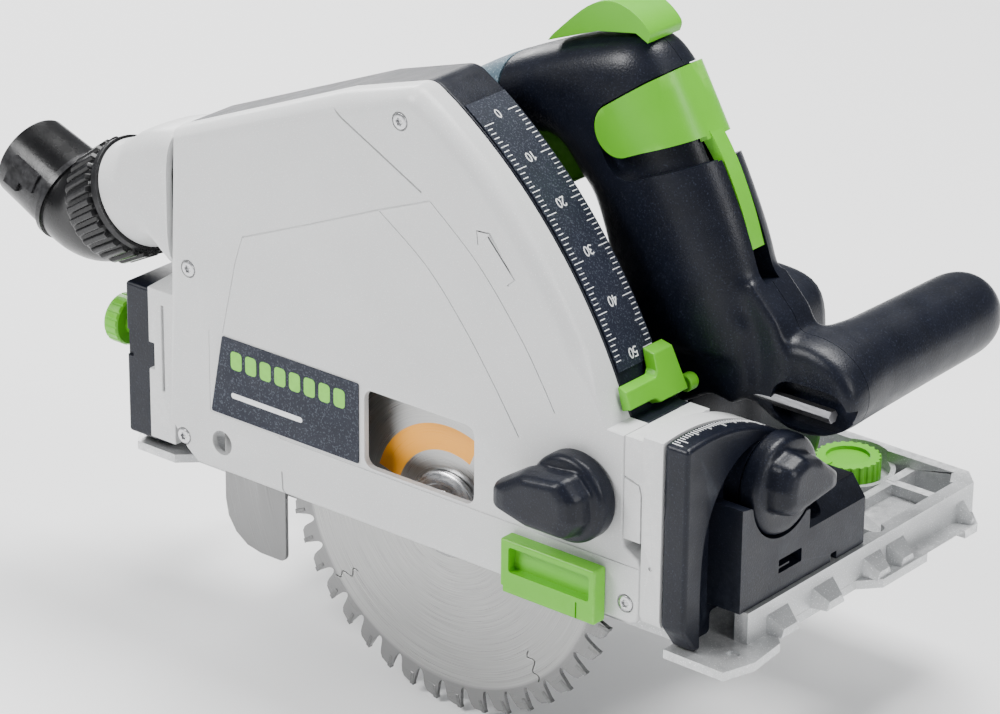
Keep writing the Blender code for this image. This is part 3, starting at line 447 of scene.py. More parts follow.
def raw(name, shape):
    """Link a shape drawn in the saw frame (mm) as an object in the row frame (m)."""
    bmesh.ops.recalc_face_normals(shape, faces=shape.faces)
    matrix = Matrix.Translation(BLADE_CENTRE) @ Matrix.Scale(MM, 4)
    bmesh.ops.transform(shape, matrix=matrix, verts=shape.verts)
    return linked(name, mesh_of(name, shape))


def as_shape(obj):
    """An object's mesh back as a shape in the saw frame, and the object removed."""
    shape = bmesh.new()
    shape.from_mesh(obj.data)
    back = Matrix.Scale(1 / MM, 4) @ Matrix.Translation(-BLADE_CENTRE)
    bmesh.ops.transform(shape, matrix=back, verts=shape.verts)
    bpy.data.objects.remove(obj, do_unlink=True)
    return shape


def settle(obj):
    """Apply the object's modifiers to its mesh."""
    bpy.context.view_layer.update()
    evaluated = obj.evaluated_get(bpy.context.evaluated_depsgraph_get())
    mesh = bpy.data.meshes.new_from_object(evaluated)
    mesh.name = obj.name
    obj.modifiers.clear()
    obj.data = mesh


def combine(obj, operation, *shapes):
    """Boolean one shape after another; a shape that the solver can't take is left out."""
    for shape in shapes:
        helper = raw("helper", shape)
        kept = obj.data
        for crossing in (False, True):
            modifier = obj.modifiers.new("combine", "BOOLEAN")
            modifier.operation = operation
            modifier.solver = "EXACT"
            modifier.use_self = crossing
            modifier.object = helper
            settle(obj)
            if len(obj.data.polygons) > len(kept.polygons) / 2:
                break
            obj.data = kept
        bpy.data.objects.remove(helper, do_unlink=True)


def cut(obj, *shapes):
    combine(obj, "DIFFERENCE", *shapes)


def add(obj, *shapes):
    combine(obj, "UNION", *shapes)


def bevel(obj, width, segments, angle):
    modifier = obj.modifiers.new("edges", "BEVEL")
    modifier.width = width * MM
    modifier.segments = segments
    modifier.limit_method = "ANGLE"
    modifier.angle_limit = math.radians(angle)


def soften(obj, width, segments=3, angle=35):
    bevel(obj, width, segments, angle)
    settle(obj)


CAD_WELD, CAD_EDGE = 0.00002, 0.4


def weigh_normals(obj):
    modifier = obj.modifiers.new("normals", "WEIGHTED_NORMAL")
    modifier.keep_sharp = True


def moulded(name, shape, voxel, passes):
    """One rounded body from overlapping shapes: remeshed evenly, then relaxed."""
    obj = raw(name, shape)
    remesh = obj.modifiers.new("remesh", "REMESH")
    remesh.mode = "VOXEL"
    remesh.voxel_size = voxel * MM
    relax = obj.modifiers.new("relax", "SMOOTH")
    relax.factor = 0.5
    relax.iterations = passes
    settle(obj)
    return obj


def dress(obj, finish, body, replaces=(), sharp=32):
    """Give a piece its material, shading and place in the frame."""
    obj.data.materials.clear()
    obj.data.materials.append(finish)
    obj.data.shade_smooth()
    obj.data.set_sharp_from_angle(angle=math.radians(sharp))
    weigh_normals(obj)
    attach(obj, body)
    if replaces:
        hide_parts(*replaces)
    return obj


def carry_over(name):
    """A CAD node that keeps its shape gets rounded edges and its finish."""
    obj = NODES[name]
    for holder in obj.material_slots:
        holder.material = SLOT_FINISH[NODE_SLOT[name]]
    weld = obj.modifiers.new("weld", "WELD")
    weld.merge_threshold = CAD_WELD
    bevel(obj, CAD_EDGE, 3, 38)
    weigh_normals(obj)


# ---------------------------------------------------------------- guard: side cover, spout, housing

def housing_arc(wall=0.0, steps=56):
    return arc(ARC_CENTRE, ARC_R - wall, HOUSING_ARC[0], HOUSING_ARC[1], steps)


def housing_outline():
    """The outline with, at each point, how much of its edge is rounded."""
    small, big = 1.1, 9.0
    front = [(-117, -10.5), (93.6, -10.5), (96.4, -9.4), (97.6, -7.0), (98, -4), (98, 13), (97, 15.6),
             (91, 19),
             (90, 21), (90, 62.5), (82, 62.5)]
    corner = rounded([(-30, 161.4, 0), (-8.6, 168.0, 9.0), (8, 156.6, 0)], 12)[1:-1]
    rear = [(-45.5, 156.8), (HOUSING_REAR_X, 121.5), (HOUSING_REAR_X, 4), (-122.5, -6.4)]
    crown = [(p, min(7.0, small + 0.8 * i)) for i, p in enumerate(housing_arc()[:-3] + corner[::-1])]
    return [(p, small) for p in front] + crown + list(zip(rear, (big, big, small, small)))


def inset(outline, distances):
    """The outline, which runs anticlockwise, drawn in by a distance at each point."""
    result = []
    for i, (u, v) in enumerate(outline):
        here = Vector((u, v))
        into = (here - Vector(outline[i - 1])).normalized()
        out = (Vector(outline[(i + 1) % len(outline)]) - here).normalized()
        first, second = Vector((-into.y, into.x)), Vector((-out.y, out.x))
        normal = (first + second).normalized()
        result.append(here + normal * distances[i] / max(normal.dot(first), 0.6))
    return result


def hollow_outline(wall):
    front = [(-125.5, -30), (87, -30), (87, 59.5), (78.8, 60.5)]
    top = [(-12, 166.7 - wall), (-44.5, 156.8 - wall)]
    rear = [(HOUSING_REAR_X + wall, 121.5 - wall), (HOUSING_REAR_X + wall, 10), (-125.5, 0)]
    return front + housing_arc(wall) + top + rear


def side_cover():
    points = housing_outline()
    outline = [p for p, _ in points]
    sections = []
    for k in range(9):
        a = math.radians(90 * k / 8)
        ring = inset(outline, [r * (1 - math.sin(a)) for _, r in points])
        sections.append([Vector((p.x, COVER_Y + r * (1 - math.cos(a)), p.y))
                         for p, (_, r) in zip(ring, points)])
    sections.append([Vector((u, SHELL_SPLIT_Y - 0.1, v)) for u, v in outline])
    cover = raw("guard_side_cover", loft(sections))
    over = COVER_Y - 1
    crease = smooth_line([(-91.3, 89.4), (-57.9, 103.3), (-24.8, 117.6), (0.2, 127.6)], 1)
    near_curve = smooth_line([(-24.1, 117.9), (-1.7, 102.4), (15.3, 84.4), (29.7, 65.6), (42.2, 47.4)])
    far_curve = smooth_line([(0.2, 127.6), (22.9, 109.1), (42.3, 86.6), (52.7, 71.2), (58.5, 61.6)])
    seam = smooth_line([(-50.5, 158.5), (-49.9, 154.6), (-44.5, 150.5), (-24.0, 140.1), (-3.7, 129.8)])
    arrow = [(22.6, 116.8), (21.9, 121.9), (28.3, 122.4), (27.2, 120.9), (39.5, 107.7), (36.3, 104.7)]
    grooves = ((crease, 0.7, 0.35), (near_curve, 0.55, 0.35), (far_curve, 0.55, 0.35), (seam, 0.8, 1.2),
               (arrow, 0.7, 0.35), ([(-91.3, 89.4), (-95.1, 78.3), (-102.2, 47.5)], 0.6, 0.2),
               ([(-74, 12.3), (97.5, 12.3)], 0.6, 0.3),
               ([(-73, -1.5), (-72.5, -9), (-69, -11.5)], 0.7, 0.6))
    cut(cover, prism(hollow_outline(3.5), "Y", COVER_Y + 2.5, SHELL_SPLIT_Y + 1))
    cut(cover,
        slab((-31.5, 13.5, 21.5, 45.0), 4, "Y", -20, 0),
        rod("Y", PLUNGE_PIVOT, 5, -20, 0),
        *[ribbon(line, width, "Y", over, COVER_Y + depth) for line, width, depth in grooves],
        slab((-109.6, 12.8, -33.0, 47.1), 1.0, "Y", over, COVER_Y + 0.15),
        *[rod("Y", centre, 3.7, over, COVER_Y + 0.9, 32) for centre in SCREWS])
    dress(cover, COVER, "guard", ["side_cover"])


SCREWS = ((-14.0, 154.5), (-119.6, 69.0), (-123.7, -1.8), (91.8, -3.0))
SPOUT_MOUTH = (8.0, 92.0)
SPOUT_WALL = 3.2
SPOUT_END = Vector((-161.0, 8.0, 83.6))
SPOUT_DIRECTION = Vector((-0.854, 0.0, -0.52)).normalized()


def star(centre, outer, inner, points=6):
    middle, swing = (outer + inner) / 2, (outer - inner) / 2
    return [around(centre, middle + swing * math.cos(points * a), a) for a in turns(points * 4)]


def cover_screws():
    for i, centre in enumerate(SCREWS):
        head = [(0.2, COVER_Y - 0.25), (2.2, COVER_Y - 0.3), (3.0, COVER_Y - 0.1), (3.2, COVER_Y + 0.5),
                (3.0, COVER_Y + 0.8), (0.2, COVER_Y + 0.8)]
        shape = turned(head, "Y", centre, 40)
        bmesh.ops.holes_fill(shape, edges=shape.edges)
        screw = raw(f"torx_screw_{i + 1}", shape)
        cut(screw, prism(star(centre, 1.75, 1.15), "Y", COVER_Y - 1, COVER_Y + 0.55))
        soften(screw, 0.12, 2)
        dress(screw, STEEL, "guard", [f"cover_screw_{i + 1}"])


def dust_spout():
    """Flush with the cover at its mouth, round at its end."""
    rear = Vector((-1, 0, 0))
    mouth, knee = Vector((-131.1, *SPOUT_MOUTH)), Vector((-146.0, 8.0, 89.0))
    stations = []
    for k in range(13):
        t = k / 12
        ease = t * t * (3 - 2 * t)
        centre = mouth.lerp(knee, min(1, t * 2)) if t < 0.5 else knee.lerp(SPOUT_END, t * 2 - 1)
        normal = rear.lerp(SPOUT_DIRECTION, min(1.0, t * 1.6)).normalized()
        power = 4.5 - 2.5 * min(1.0, ease * 1.4)
        half_y, half_up = 19.0 + 3.0 * ease, 28.0 - 6.0 * min(1.0, ease * 1.15)
        stations.append((centre, normal, half_y, half_up, power))

    def section(centre, normal, half_y, half_up, power):
        side, up = square_to(normal)
        return [centre + side * half_y * u + up * half_up * v
                for u, v in (squared_point(a, power) for a in turns(72))]

    outside = [section(*station) for station in stations]
    inside = [section(c, n, y - SPOUT_WALL, up - SPOUT_WALL, p) for c, n, y, up, p in reversed(stations)]
    spout = raw("spout_shell", loft(outside + inside, closed=True))
    dress(spout, COVER, "guard", ["dust_spout"], sharp=50)


def guard_housing():
    outline = [p for p, _ in housing_outline()]
    housing = raw("housing_band", prism(outline, "Y", SHELL_SPLIT_Y + 0.2, HOUSING_BACK_Y))
    soften(housing, 1.0, 3, 50)
    slot = arc(PLUNGE_PIVOT, 121.5, -30, 46, 24) + arc(PLUNGE_PIVOT, 86, 46, -30, 20)
    cut(housing,
        prism(hollow_outline(3.5), "Y", SHELL_SPLIT_Y - 1, HOUSING_BACK_Y - 3),
        prism(slot, "Y", HOUSING_BACK_Y - 5, HOUSING_BACK_Y + 5),
        rod("Y", PLUNGE_PIVOT, 4.3, 20, 30))
    dress(housing, BLACK, "guard", ["guard_housing"])


def label_plate():
    outline = rounded([(-102.5, 46.3, 0.8), (-34.1, 46.3, 0.8), (-34.1, 13.7, 0.8), (-108.7, 13.7, 0.8)], 4)
    plate = raw("plain_label", prism(outline, "Y", COVER_Y - 0.35, COVER_Y + 0.1))
    soften(plate, 0.12, 2)
    dress(plate, FILM, "guard", ["label_plate"])
    low, high = COVER_Y - 0.42, COVER_Y - 0.3
    bars = joined(*[slab((-98.0 + 7.4 * i, 34.0, -92.5 + 7.4 * i, 41.5), 1.6, "Y", low, high)
                    for i in range(8)])
    stripes = raw("label_green_bars", bars)
    dress(stripes, GREEN_INK, "guard")
    rule = raw("label_white_rule", slab((-98.0, 22.0, -62.0, 24.2), 1.0, "Y", low, high))
    dress(rule, WHITE_INK, "guard")


def band_point(angle, radius, y):
    return lift("Y", *around(ARC_CENTRE, radius, math.radians(angle)), y)


ZERO_ANGLE, DEGREES_PER_MM = 53.4, 0.534
SCALE_FOOT = 26.0
ARC_DEGREES_PER_MM = math.degrees(1 / ARC_R)
MARK_RADII = (ARC_R + 0.6, ARC_R + 0.75)
STROKE_HALF, STROKE_OVERLAP = 0.23, 0.15


def strip_on_band(angle, half_angle, y0, y1):
    """A mark printed on the band."""
    inner, outer = MARK_RADII
    return loft([[band_point(at, r, y) for r, y in ((inner, y0), (outer, y0), (outer, y1), (inner, y1))]
                 for at in (angle - half_angle, angle + half_angle)])


def digit_strokes(character):
    """Strokes of a rounded drawn numeral, as (u, v) lines in a box 1 wide and 2 high."""
    full = [(0.5 + 0.5 * math.cos(a), 1 + math.sin(a)) for a in turns(16) + [2 * math.pi]]
    shapes = {
        "0": [full],
        "1": [[(0.15, 1.6), (0.6, 2.0), (0.6, 0.0)]],
        "2": [[(0.02, 1.6), (0.2, 1.92), (0.55, 2.0), (0.9, 1.8), (0.95, 1.4), (0.6, 0.8), (0.0, 0.0),
               (1.0, 0.0)]],
        "3": [[(0.05, 1.8), (0.45, 2.0), (0.9, 1.8), (0.9, 1.3), (0.45, 1.05), (0.95, 0.8), (0.95, 0.25),
               (0.5, 0.0), (0.0, 0.2)]],
        "4": [[(0.8, 0.0), (0.8, 2.0), (0.0, 0.6), (1.05, 0.6)]],
        "5": [[(0.95, 2.0), (0.15, 2.0), (0.05, 1.1), (0.5, 1.25), (0.95, 1.0), (0.95, 0.3), (0.5, 0.0),
               (0.0, 0.15)]],
    }
    return shapes[character]


def numeral_on_band(text, angle, y_middle, size):
    """White numerals that read from behind the saw; size is half the numeral's height in mm."""
    parts = []
    pitch = size * 1.35
    width = len(text) * pitch - size * 0.35
    for i, character in enumerate(text):
        for stroke in digit_strokes(character):
            for (u0, v0), (u1, v1) in zip(stroke, stroke[1:]):
                points = []
                for u, v in ((u0, v0), (u1, v1)):
                    across = -width / 2 + i * pitch + u * size
                    points.append(Vector((y_middle - across, angle - (v - 1) * size * ARC_DEGREES_PER_MM)))
                run = points[1] - points[0]
                along = Vector((run.x, run.y / ARC_DEGREES_PER_MM)).normalized()
                normal = Vector((-along.y, along.x)) * STROKE_HALF
                reach = along * STROKE_OVERLAP
                corners = []
                for sign, point in ((1, points[0]), (1, points[1]), (-1, points[1]), (-1, points[0])):
                    end = reach if point is points[1] else -reach
                    y = point.x + sign * normal.x + end.x
                    at = point.y + (sign * normal.y + end.y) * ARC_DEGREES_PER_MM
                    corners.append((y, at))
                parts.append(loft([[band_point(at, radius, y) for y, at in corners]
                                   for radius in MARK_RADII]))
    return parts


def depth_scale():
    inner, outer = ARC_R + 0.25, ARC_R + 0.62
    outline = arc(ARC_CENTRE, inner, 25.5, 55.5, 60) + arc(ARC_CENTRE, outer, 55.5, 25.5, 60)
    film = raw("scale_film", prism(outline, "Y", 3.0, 25.0))
    dress(film, FILM, "guard", ["depth_scale"])
    marks = []
    half_mark = 0.16 * ARC_DEGREES_PER_MM
    near, far = 3.6, 24.3
    for i in range(0, 56):
        length = 5.0 if i % 10 == 0 else (4.0 if i % 5 == 0 else 2.6)
        at = ZERO_ANGLE - i * DEGREES_PER_MM
        if at < SCALE_FOOT:
            continue
        marks.append(strip_on_band(at, half_mark, far - length, far))
        lower = at - 2.6 * ARC_DEGREES_PER_MM
        if lower > SCALE_FOOT:
            marks.append(strip_on_band(lower, half_mark, near, near + length))
    for i in range(0, 60, 10):
        marks += numeral_on_band(str(i), ZERO_ANGLE - i * DEGREES_PER_MM, 13.6, 1.75)
    printed = raw("scale_marks", joined(*marks))
    dress(printed, WHITE_INK, "guard")


STOP_ANGLE = math.radians(23.2)
STOP_CATCH = (83.0, 65.6)
STOP_OUT = Vector((math.cos(STOP_ANGLE), 0, math.sin(STOP_ANGLE)))
STOP_ALONG = Vector((-math.sin(STOP_ANGLE), 0, math.cos(STOP_ANGLE)))
STOP_FOOT = Vector((ARC_CENTRE[0], 0, ARC_CENTRE[1])) + STOP_OUT * (ARC_R + 1.1)


def stop_slice(outline, out):
    """A (y, along) outline on the plane a distance out from the scale band."""
    return [STOP_FOOT + STOP_ALONG * along + STOP_OUT * out + Vector((0, y, 0)) for y, along in outline]


def depth_stop():
    hollow = arc((9.8, -8.4), 4.0, 90, 28, 8)
    foot = [(-2.2, -4.4)] + hollow + [(14.1, -6.7), (29.8, -6.7), (28.4, 13.0), (17.6, 13.0), (16.4, 6.4),
                                      (14.6, 4.2), (-1.0, 4.2)]
    face = [(-2.8, -4.4)] + hollow + [(14.1, -6.6), (29.6, -6.6), (28.2, 10.4), (17.2, 10.4), (16.2, 4.0),
                                      (14.6, 2.3), (-2.8, 2.2)]
    stop = raw("depth_stop_slide",
               loft([stop_slice(foot, 0.1), stop_slice(foot, 0.9), stop_slice(face, 5.0)]))
    soften(stop, 0.55, 3, 40)
    guide = [(26.8, -6.6), (29.2, -6.6), (29.2, 9.0), (26.8, 9.0)]
    add(stop, loft([stop_slice(guide, -8.8), stop_slice(guide, 1.0)]))
    dress(stop, GREEN, "stop_slider", ["depth_stop"])
    profile = [(1.9, 31.4), (3.0, 31.4), (3.3, 31.8), (3.3, 35.6), (2.9, 36.4), (2.2, 36.4), (1.9, 36.0)]
    catch = raw("stop_release_button", turned(profile, "Y", STOP_CATCH, 40))
    add(catch, rod("Y", STOP_CATCH, 2.2, 31.5, 34.6, 24))
    soften(catch, 0.2, 2, 50)
    dress(catch, GREEN, "stop_button", ["stop_catch"])


# ---------------------------------------------------------------- handle

COLUMN_DOWN = Vector((0.5, 0.0, -0.866)).normalized()
COLUMN_FRONT = Vector((0.866, 0.0, 0.5)).normalized()
LEVER_ORIGIN = Vector((41.8, SPLIT_Y, 147.7))
COLUMN_DEPTH = 31.0
COLUMN_WIDTH = 19.3
BAND = (-13.6, 13.6)
BAR_AXIS = (126.0, 68.5)

# Stations round the grip: outer x, z and inner x, z of the middle plane, and half the width.
GRIP = ((-89, 100, -77, 82, 14.0), (-80, 118, -66, 97, 17.0), (-58, 135.5, -46, 113, 17.5),
        (-25, 157, -17, 129, 17.5), (4, 171, 3, 136.5, 18.0), (28, 180, 12, 134.5, 18.6),
        (47, 183.5, 17, 129, 19.0), (60, 174.5, 20, 125, COLUMN_WIDTH),
        (76.5, 152.5, 26, 119, COLUMN_WIDTH),
        (88.5, 131, 31, 107, COLUMN_WIDTH), (96.5, 113, 35.5, 93, COLUMN_WIDTH), (103, 92, 40, 82, 18.6),
        (108, 76, 50, 71, 17.5))
STATION_STEPS = 6
GRIP_LINE = smooth_line(GRIP, STATION_STEPS)


def grip_section(at, inset_by, ring):
    """The grip's section at a place along its stations, drawn in by an inset."""
    low = min(int(at * STATION_STEPS), len(GRIP_LINE) - 2)
    station = GRIP_LINE[low].lerp(GRIP_LINE[low + 1], at * STATION_STEPS - low)
    outer, inner, half = Vector(station[0:2]), Vector(station[2:4]), station[4] - inset_by
    middle, reach = (outer + inner) / 2, (outer - inner) / 2
    reach *= 1 - inset_by / reach.length
    return [Vector((middle.x + reach.x * u, SPLIT_Y + half * v, middle.y + reach.y * u)) for u, v in ring]


def grip_sleeve(start, end, inset_by, growth, reach):
    """A sleeve over the top and the sides of the grip, between two places along it; reach is in degrees."""
    over = [squared_point(math.radians(reach * k / 20)) for k in range(-20, 21)]
    places = [start + (end - start) * k / 14 for k in range(15)]
    return loft([grip_section(at, -growth, over) + list(reversed(grip_section(at, inset_by, over)))
                 for at in places])


def saddle_outline():
    seat = arc(MOTOR, MOTOR_R + 1.6, 24, 84, 14)
    front = [(86, 58), (96, 56), (103, 66), (100, 88), (90, 96), (60, 95), (36, 90), (-52, 87.5), (-74, 90),
             (-88, 98), (-92, 88), (-82, 77), (-60, 75.5)]
    return front + list(reversed(seat))


def bar_loft():
    x, z = BAR_AXIS
    stations = [(47.0, x - 4, z - 1, 20.0, 14.0), (48.0, x - 4.2, z - 0.7, 22.3, 16.0),
                (50.0, x - 4.5, z - 0.4, 23.8, 17.4), (56.0, x - 4.5, z, 24.5, 18.2),
                (64.0, x - 3.5, z, 22.5, 18.2), (73.0, x - 1, z, 18.8, 17.8), (84.0, x, z, 17.3, 17.3),
                (104.0, x, z, 16.9, 16.9), (124.0, x, z, 16.6, 16.6), (143.0, x, z, 16.3, 16.3),
                (149.0, x, z, 15.0, 15.0), (153.5, x, z, 12.2, 12.2), (156.2, x, z, 8.5, 8.5),
                (157.3, x, z, 4.0, 4.0)]
    return loft([[Vector((cx + hx * math.cos(a), y, cz + hz * math.sin(a)))
                  for a in turns(64)] for y, cx, cz, hx, hz in stations])


def column_prism(section, down0, down1, steps=1):
    places = [down0 + (down1 - down0) * k / steps for k in range(steps + 1)]
    return loft([[LEVER_ORIGIN + COLUMN_DOWN * down + COLUMN_FRONT * f + Vector((0, y, 0))
                  for f, y in section]
                 for down in places])


def lever_band(inset_by, growth):
    steps = 72
    outer = [(u * (COLUMN_DEPTH + growth), v * (COLUMN_WIDTH + growth)) for u, v in squared_circle(steps)]
    inner = [(u * (COLUMN_DEPTH - inset_by), v * (COLUMN_WIDTH - inset_by))
             for u, v in squared_circle(steps)]
    around = list(range(steps // 2 + 12, steps)) + list(range(0, 19))
    return [outer[k] for k in around] + [inner[k] for k in reversed(around)]


def column_plate(outline, low, high):
    """Extrude a (front, down) outline of the column along Y."""
    return loft([[LEVER_ORIGIN + COLUMN_FRONT * f + COLUMN_DOWN * d + Vector((0, y - SPLIT_Y, 0))
                  for f, d in outline]
                 for y in (low, high)])


def beyond_lever_end(gap, travel=0.0):
    """The band's near side beyond the lever's rounded end and the room for its travel."""
    r = 10.0 + gap
    end = []
    for k in range(25):
        a = math.radians(270 - 7.5 * k)
        end.append((4.5 + r * math.cos(a), (-1.2 if k < 12 else travel - 1.2) + r * math.sin(a)))
    top = [(-45, -22), (33, -22), (33, -13.7 - gap), (22.9, -13.1 - gap)]
    bottom = [(11, 9.4 + gap + travel), (33, 12.6 + gap + travel), (33, 40), (-45, 40)]
    return column_plate(top + end + bottom, 30, 52 - 0.6 * gap)


def halve(obj, name, keep_near):
    """One side of a body parted along the handle's middle plane."""
    half = linked(name, obj.data.copy())
    shape = bmesh.new()
    shape.from_mesh(half.data)
    offset = -0.15 if keep_near else 0.15
    point = place(0, SPLIT_Y + offset, 0)
    geometry = shape.verts[:] + shape.edges[:] + shape.faces[:]
    result = bmesh.ops.bisect_plane(shape, geom=geometry, plane_co=point, plane_no=(0, 1, 0),
                                    clear_outer=keep_near, clear_inner=not keep_near)
    rim = [g for g in result["geom_cut"] if isinstance(g, bmesh.types.BMEdge)]
    bmesh.ops.triangle_fill(shape, edges=rim, use_beauty=True)
    bmesh.ops.recalc_face_normals(shape, faces=shape.faces)
    shape.to_mesh(half.data)
    shape.free()
    return half


def handle_shells():
    places = [k / STATION_STEPS for k in range((len(GRIP) - 1) * STATION_STEPS + 1)]
    grip = loft([grip_section(at, 0.0, squared_circle(64)) for at in places])
    foot = prism(saddle_outline(), "Y", 43.0, 72.0)
    web = loft([[Vector((x, y, z))
                 for x, z in ((84, 60), (112, 58), (120, 74), (112, 92), (100, 104), (80, 96))]
                for y in (46.0, 69.0)])
    body = moulded("handle_body", joined(grip, foot, web, bar_loft()), 1.25, 34)
    slot = [(66, 146), (80, 127), (93, 100), (112, 105), (96, 150), (74, 165)]
    groove = raw("lever_groove", column_prism(lever_band(4.0, 6.0), BAND[0] - 0.5, BAND[1] + 8.6, 2))
    cut(groove, beyond_lever_end(0.7, 8.4))
    cut(body,
        box((-26, SPLIT_Y - 8, 108), (24, SPLIT_Y + 8, 147)),
        as_shape(groove),
        prism(slot, "Y", SPLIT_Y - 4.2, SPLIT_Y + 4.2),
        grip_sleeve(2.07, 3.4, 2.6, 4.0, 107),
        slab((111, 54.5, 143, 71.5), 8, "Y", 40, 52.5),
        box((113, 40, 58.9), (150, 51.6, 66.1)))
    near = halve(body, "handle_shell_near", True)
    far = halve(body, "handle_shell_far", False)
    bpy.data.objects.remove(body, do_unlink=True)
    dress(near, BLACK, "saw_unit", ["handle_right_shell"], sharp=45)
    dress(far, BLACK, "saw_unit", ["handle_left_shell"], sharp=45)


def hex_key():
    key = raw("hex_key_bar", rod("X", (48.3, 62.5), 2.75, 100.2, 136.8, 6))
    soften(key, 0.3, 3, 40)
    dress(key, IRON, "hex_key", ["hex_key"], sharp=25)


def handle_trim():
    pad = raw("soft_grip_pad", grip_sleeve(2.1, 3.36, 2.0, 0.0, 105))
    soften(pad, 0.5, 3, 50)
    dress(pad, RUBBER, "saw_unit", ["grip_pad"], sharp=50)
    tab = smooth_line([(95, 113.5), (90, 127), (83, 141.5), (76.4, 151.6), (70, 158)], 5)
    inner = smooth_line([(70, 152), (80, 139), (87, 125.5), (92.4, 112.5)], 5)
    lever = raw("quick_change_lever", column_prism(lever_band(2.9, 0.4), *BAND, 4))
    cut(lever, beyond_lever_end(0.0))
    soften(lever, 0.8, 4, 50)
    add(lever, prism(tab + inner, "Y", SPLIT_Y - 3.6, SPLIT_Y + 3.6))
    soften(lever, 0.3, 2, 60)
    dress(lever, GREEN, "blade_change", ["blade_change_lever"], sharp=50)
    dome = smooth_line([(50.5, 182.6), (51, 187), (44, 192.5), (34, 194.8), (23, 190.5), (9, 178),
                        (5, 173.4)], 5)
    under = [(28, 182.2), (45, 185.2)]
    slider = raw("lock_slide_cap", prism(dome + under, "Y", 48, 67))
    soften(slider, 2.4, 5, 50)
    for k in range(5):
        x = 20.0 + 3.6 * k
        z = 189.3 + 1.35 * k - (0.35 * k * k if k > 2 else 0)
        cut(slider, slab((x, z, x + 1.2, z + 8), 0.2, "Y", 51, 64))
    dress(slider, GREEN, "lock_slide", ["lock_slider"], sharp=50)
    lever_line = [(24, 141), (17, 142), (-22, 136.5), (-24, 128), (-16, 121.5), (-4, 117), (10, 116.5),
                  (22, 124)]
    shape = prism(rounded([(x, z, 2.2) for x, z in lever_line], 5), "Y", SPLIT_Y - 7, SPLIT_Y + 7)
    trigger = raw("trigger_lever", shape)
    soften(trigger, 2.6, 5, 50)
    dress(trigger, GREEN, "trigger", ["trigger"], sharp=50)


# ---------------------------------------------------------------- blade

TEETH = 42
TOOTH_FOOT, TOOTH_LEAN = 74.6, 0.072
AXIS = (0.0, 0.0)


def saw_blade():
    pitch = 360.0 / TEETH
    profile = [(0.0, 80.0), (0.03, 79.6), (0.10, 79.3), (0.38, 78.6), (0.50, 77.2), (0.57, 75.2),
               (0.62, 73.2),
               (0.68, 71.6), (0.76, 70.9), (0.84, 71.2), (0.90, 72.4), (0.925, 74.0), (0.94, 76.6),
               (0.955, 79.0)]
    outline = []
    for i in range(TEETH):
        for offset, radius in profile:
            outline.append(around(AXIS, radius, math.radians(-(i + offset) * pitch)))
    plate = raw("blade_plate", prism(outline[::-1], "Y", -0.85, 0.85))
    slots = []
    for k in range(4):
        base = math.radians(38 + 90 * k)
        line = []
        for j in range(25):
            t = j / 24
            radius = 71.0 - 12.0 * t
            a = base + math.radians(1.6 * math.sin(t * 4 * math.pi) * (0.5 + t / 2) + 3.0 * t)
            line.append(around(AXIS, radius, a))
        slots.append(ribbon(line, 0.55, "Y", -2, 2))
    cut(plate, rod("Y", AXIS, 10.0, -5, 5), *slots)
    soften(plate, 0.12, 1, 60)
    dress(plate, BLADE, "spindle", ["saw_blade"], sharp=30)
    tips = []
    for i in range(TEETH):
        a = math.radians(-i * pitch)
        radial, forward = Vector((math.cos(a), 0, math.sin(a))), Vector((-math.sin(a), 0, math.cos(a)))
        sections = []
        for y in (-1.05, 1.05):
            corners = [(79.9, 0.35), (79.7, -1.5), (TOOTH_FOOT, -1.75), (TOOTH_FOOT, -0.35)]
            sections.append([radial * r + forward * (f + (r - TOOTH_FOOT) * TOOTH_LEAN) + Vector((0, y, 0))
                             for r, f in corners])
        tips.append(loft(sections))
    carbide = raw("carbide_tips", joined(*tips))
    soften(carbide, 0.12, 1, 50)
    dress(carbide, CARBIDE, "spindle", sharp=30)


def flange_stack():
    cap = [(3.4, -4.4), (9.6, -4.4), (10.2, -4.0), (12.2, -4.0), (12.8, -4.4), (14.0, -4.4), (16.4, -3.3),
           (17.0, -2.8),
           (17.0, -1.2), (3.4, -1.2)]
    flange = raw("blade_flange", turned(cap, "Y", AXIS, 96))
    for a in turns(2):
        cut(flange, rod("Y", around(AXIS, 11.3, a), 1.6, -6, -3.2, 20))
    soften(flange, 0.2, 2, 40)
    dress(flange, STEEL, "spindle", ["outer_flange"])
    shape = turned([(0.05, -6.2), (2.6, -6.2), (3.0, -8.2), (6.6, -8.4), (7.2, -7.9), (7.2, -4.7),
                    (2.7, -4.7),
                    (2.7, 12.0), (0.05, 12.0)], "Y", AXIS, 64)
    bolt = raw("blade_bolt", shape)
    cut(bolt, rod("Y", AXIS, 3.1, -9.0, -6.0, 6))
    soften(bolt, 0.15, 2, 40)
    dress(bolt, STEEL, "spindle", ["arbor_bolt"])


# ---------------------------------------------------------------- knobs

GUARD_KNOB = (70.5, 34.5)
FRONT_KNOB = (36.0, 37.0)
FRONT_KNOB_R = 19.0
REAR_KNOB = (40.0, 24.0)
UNDERCUT_KNOB = (12.0, 25.0)


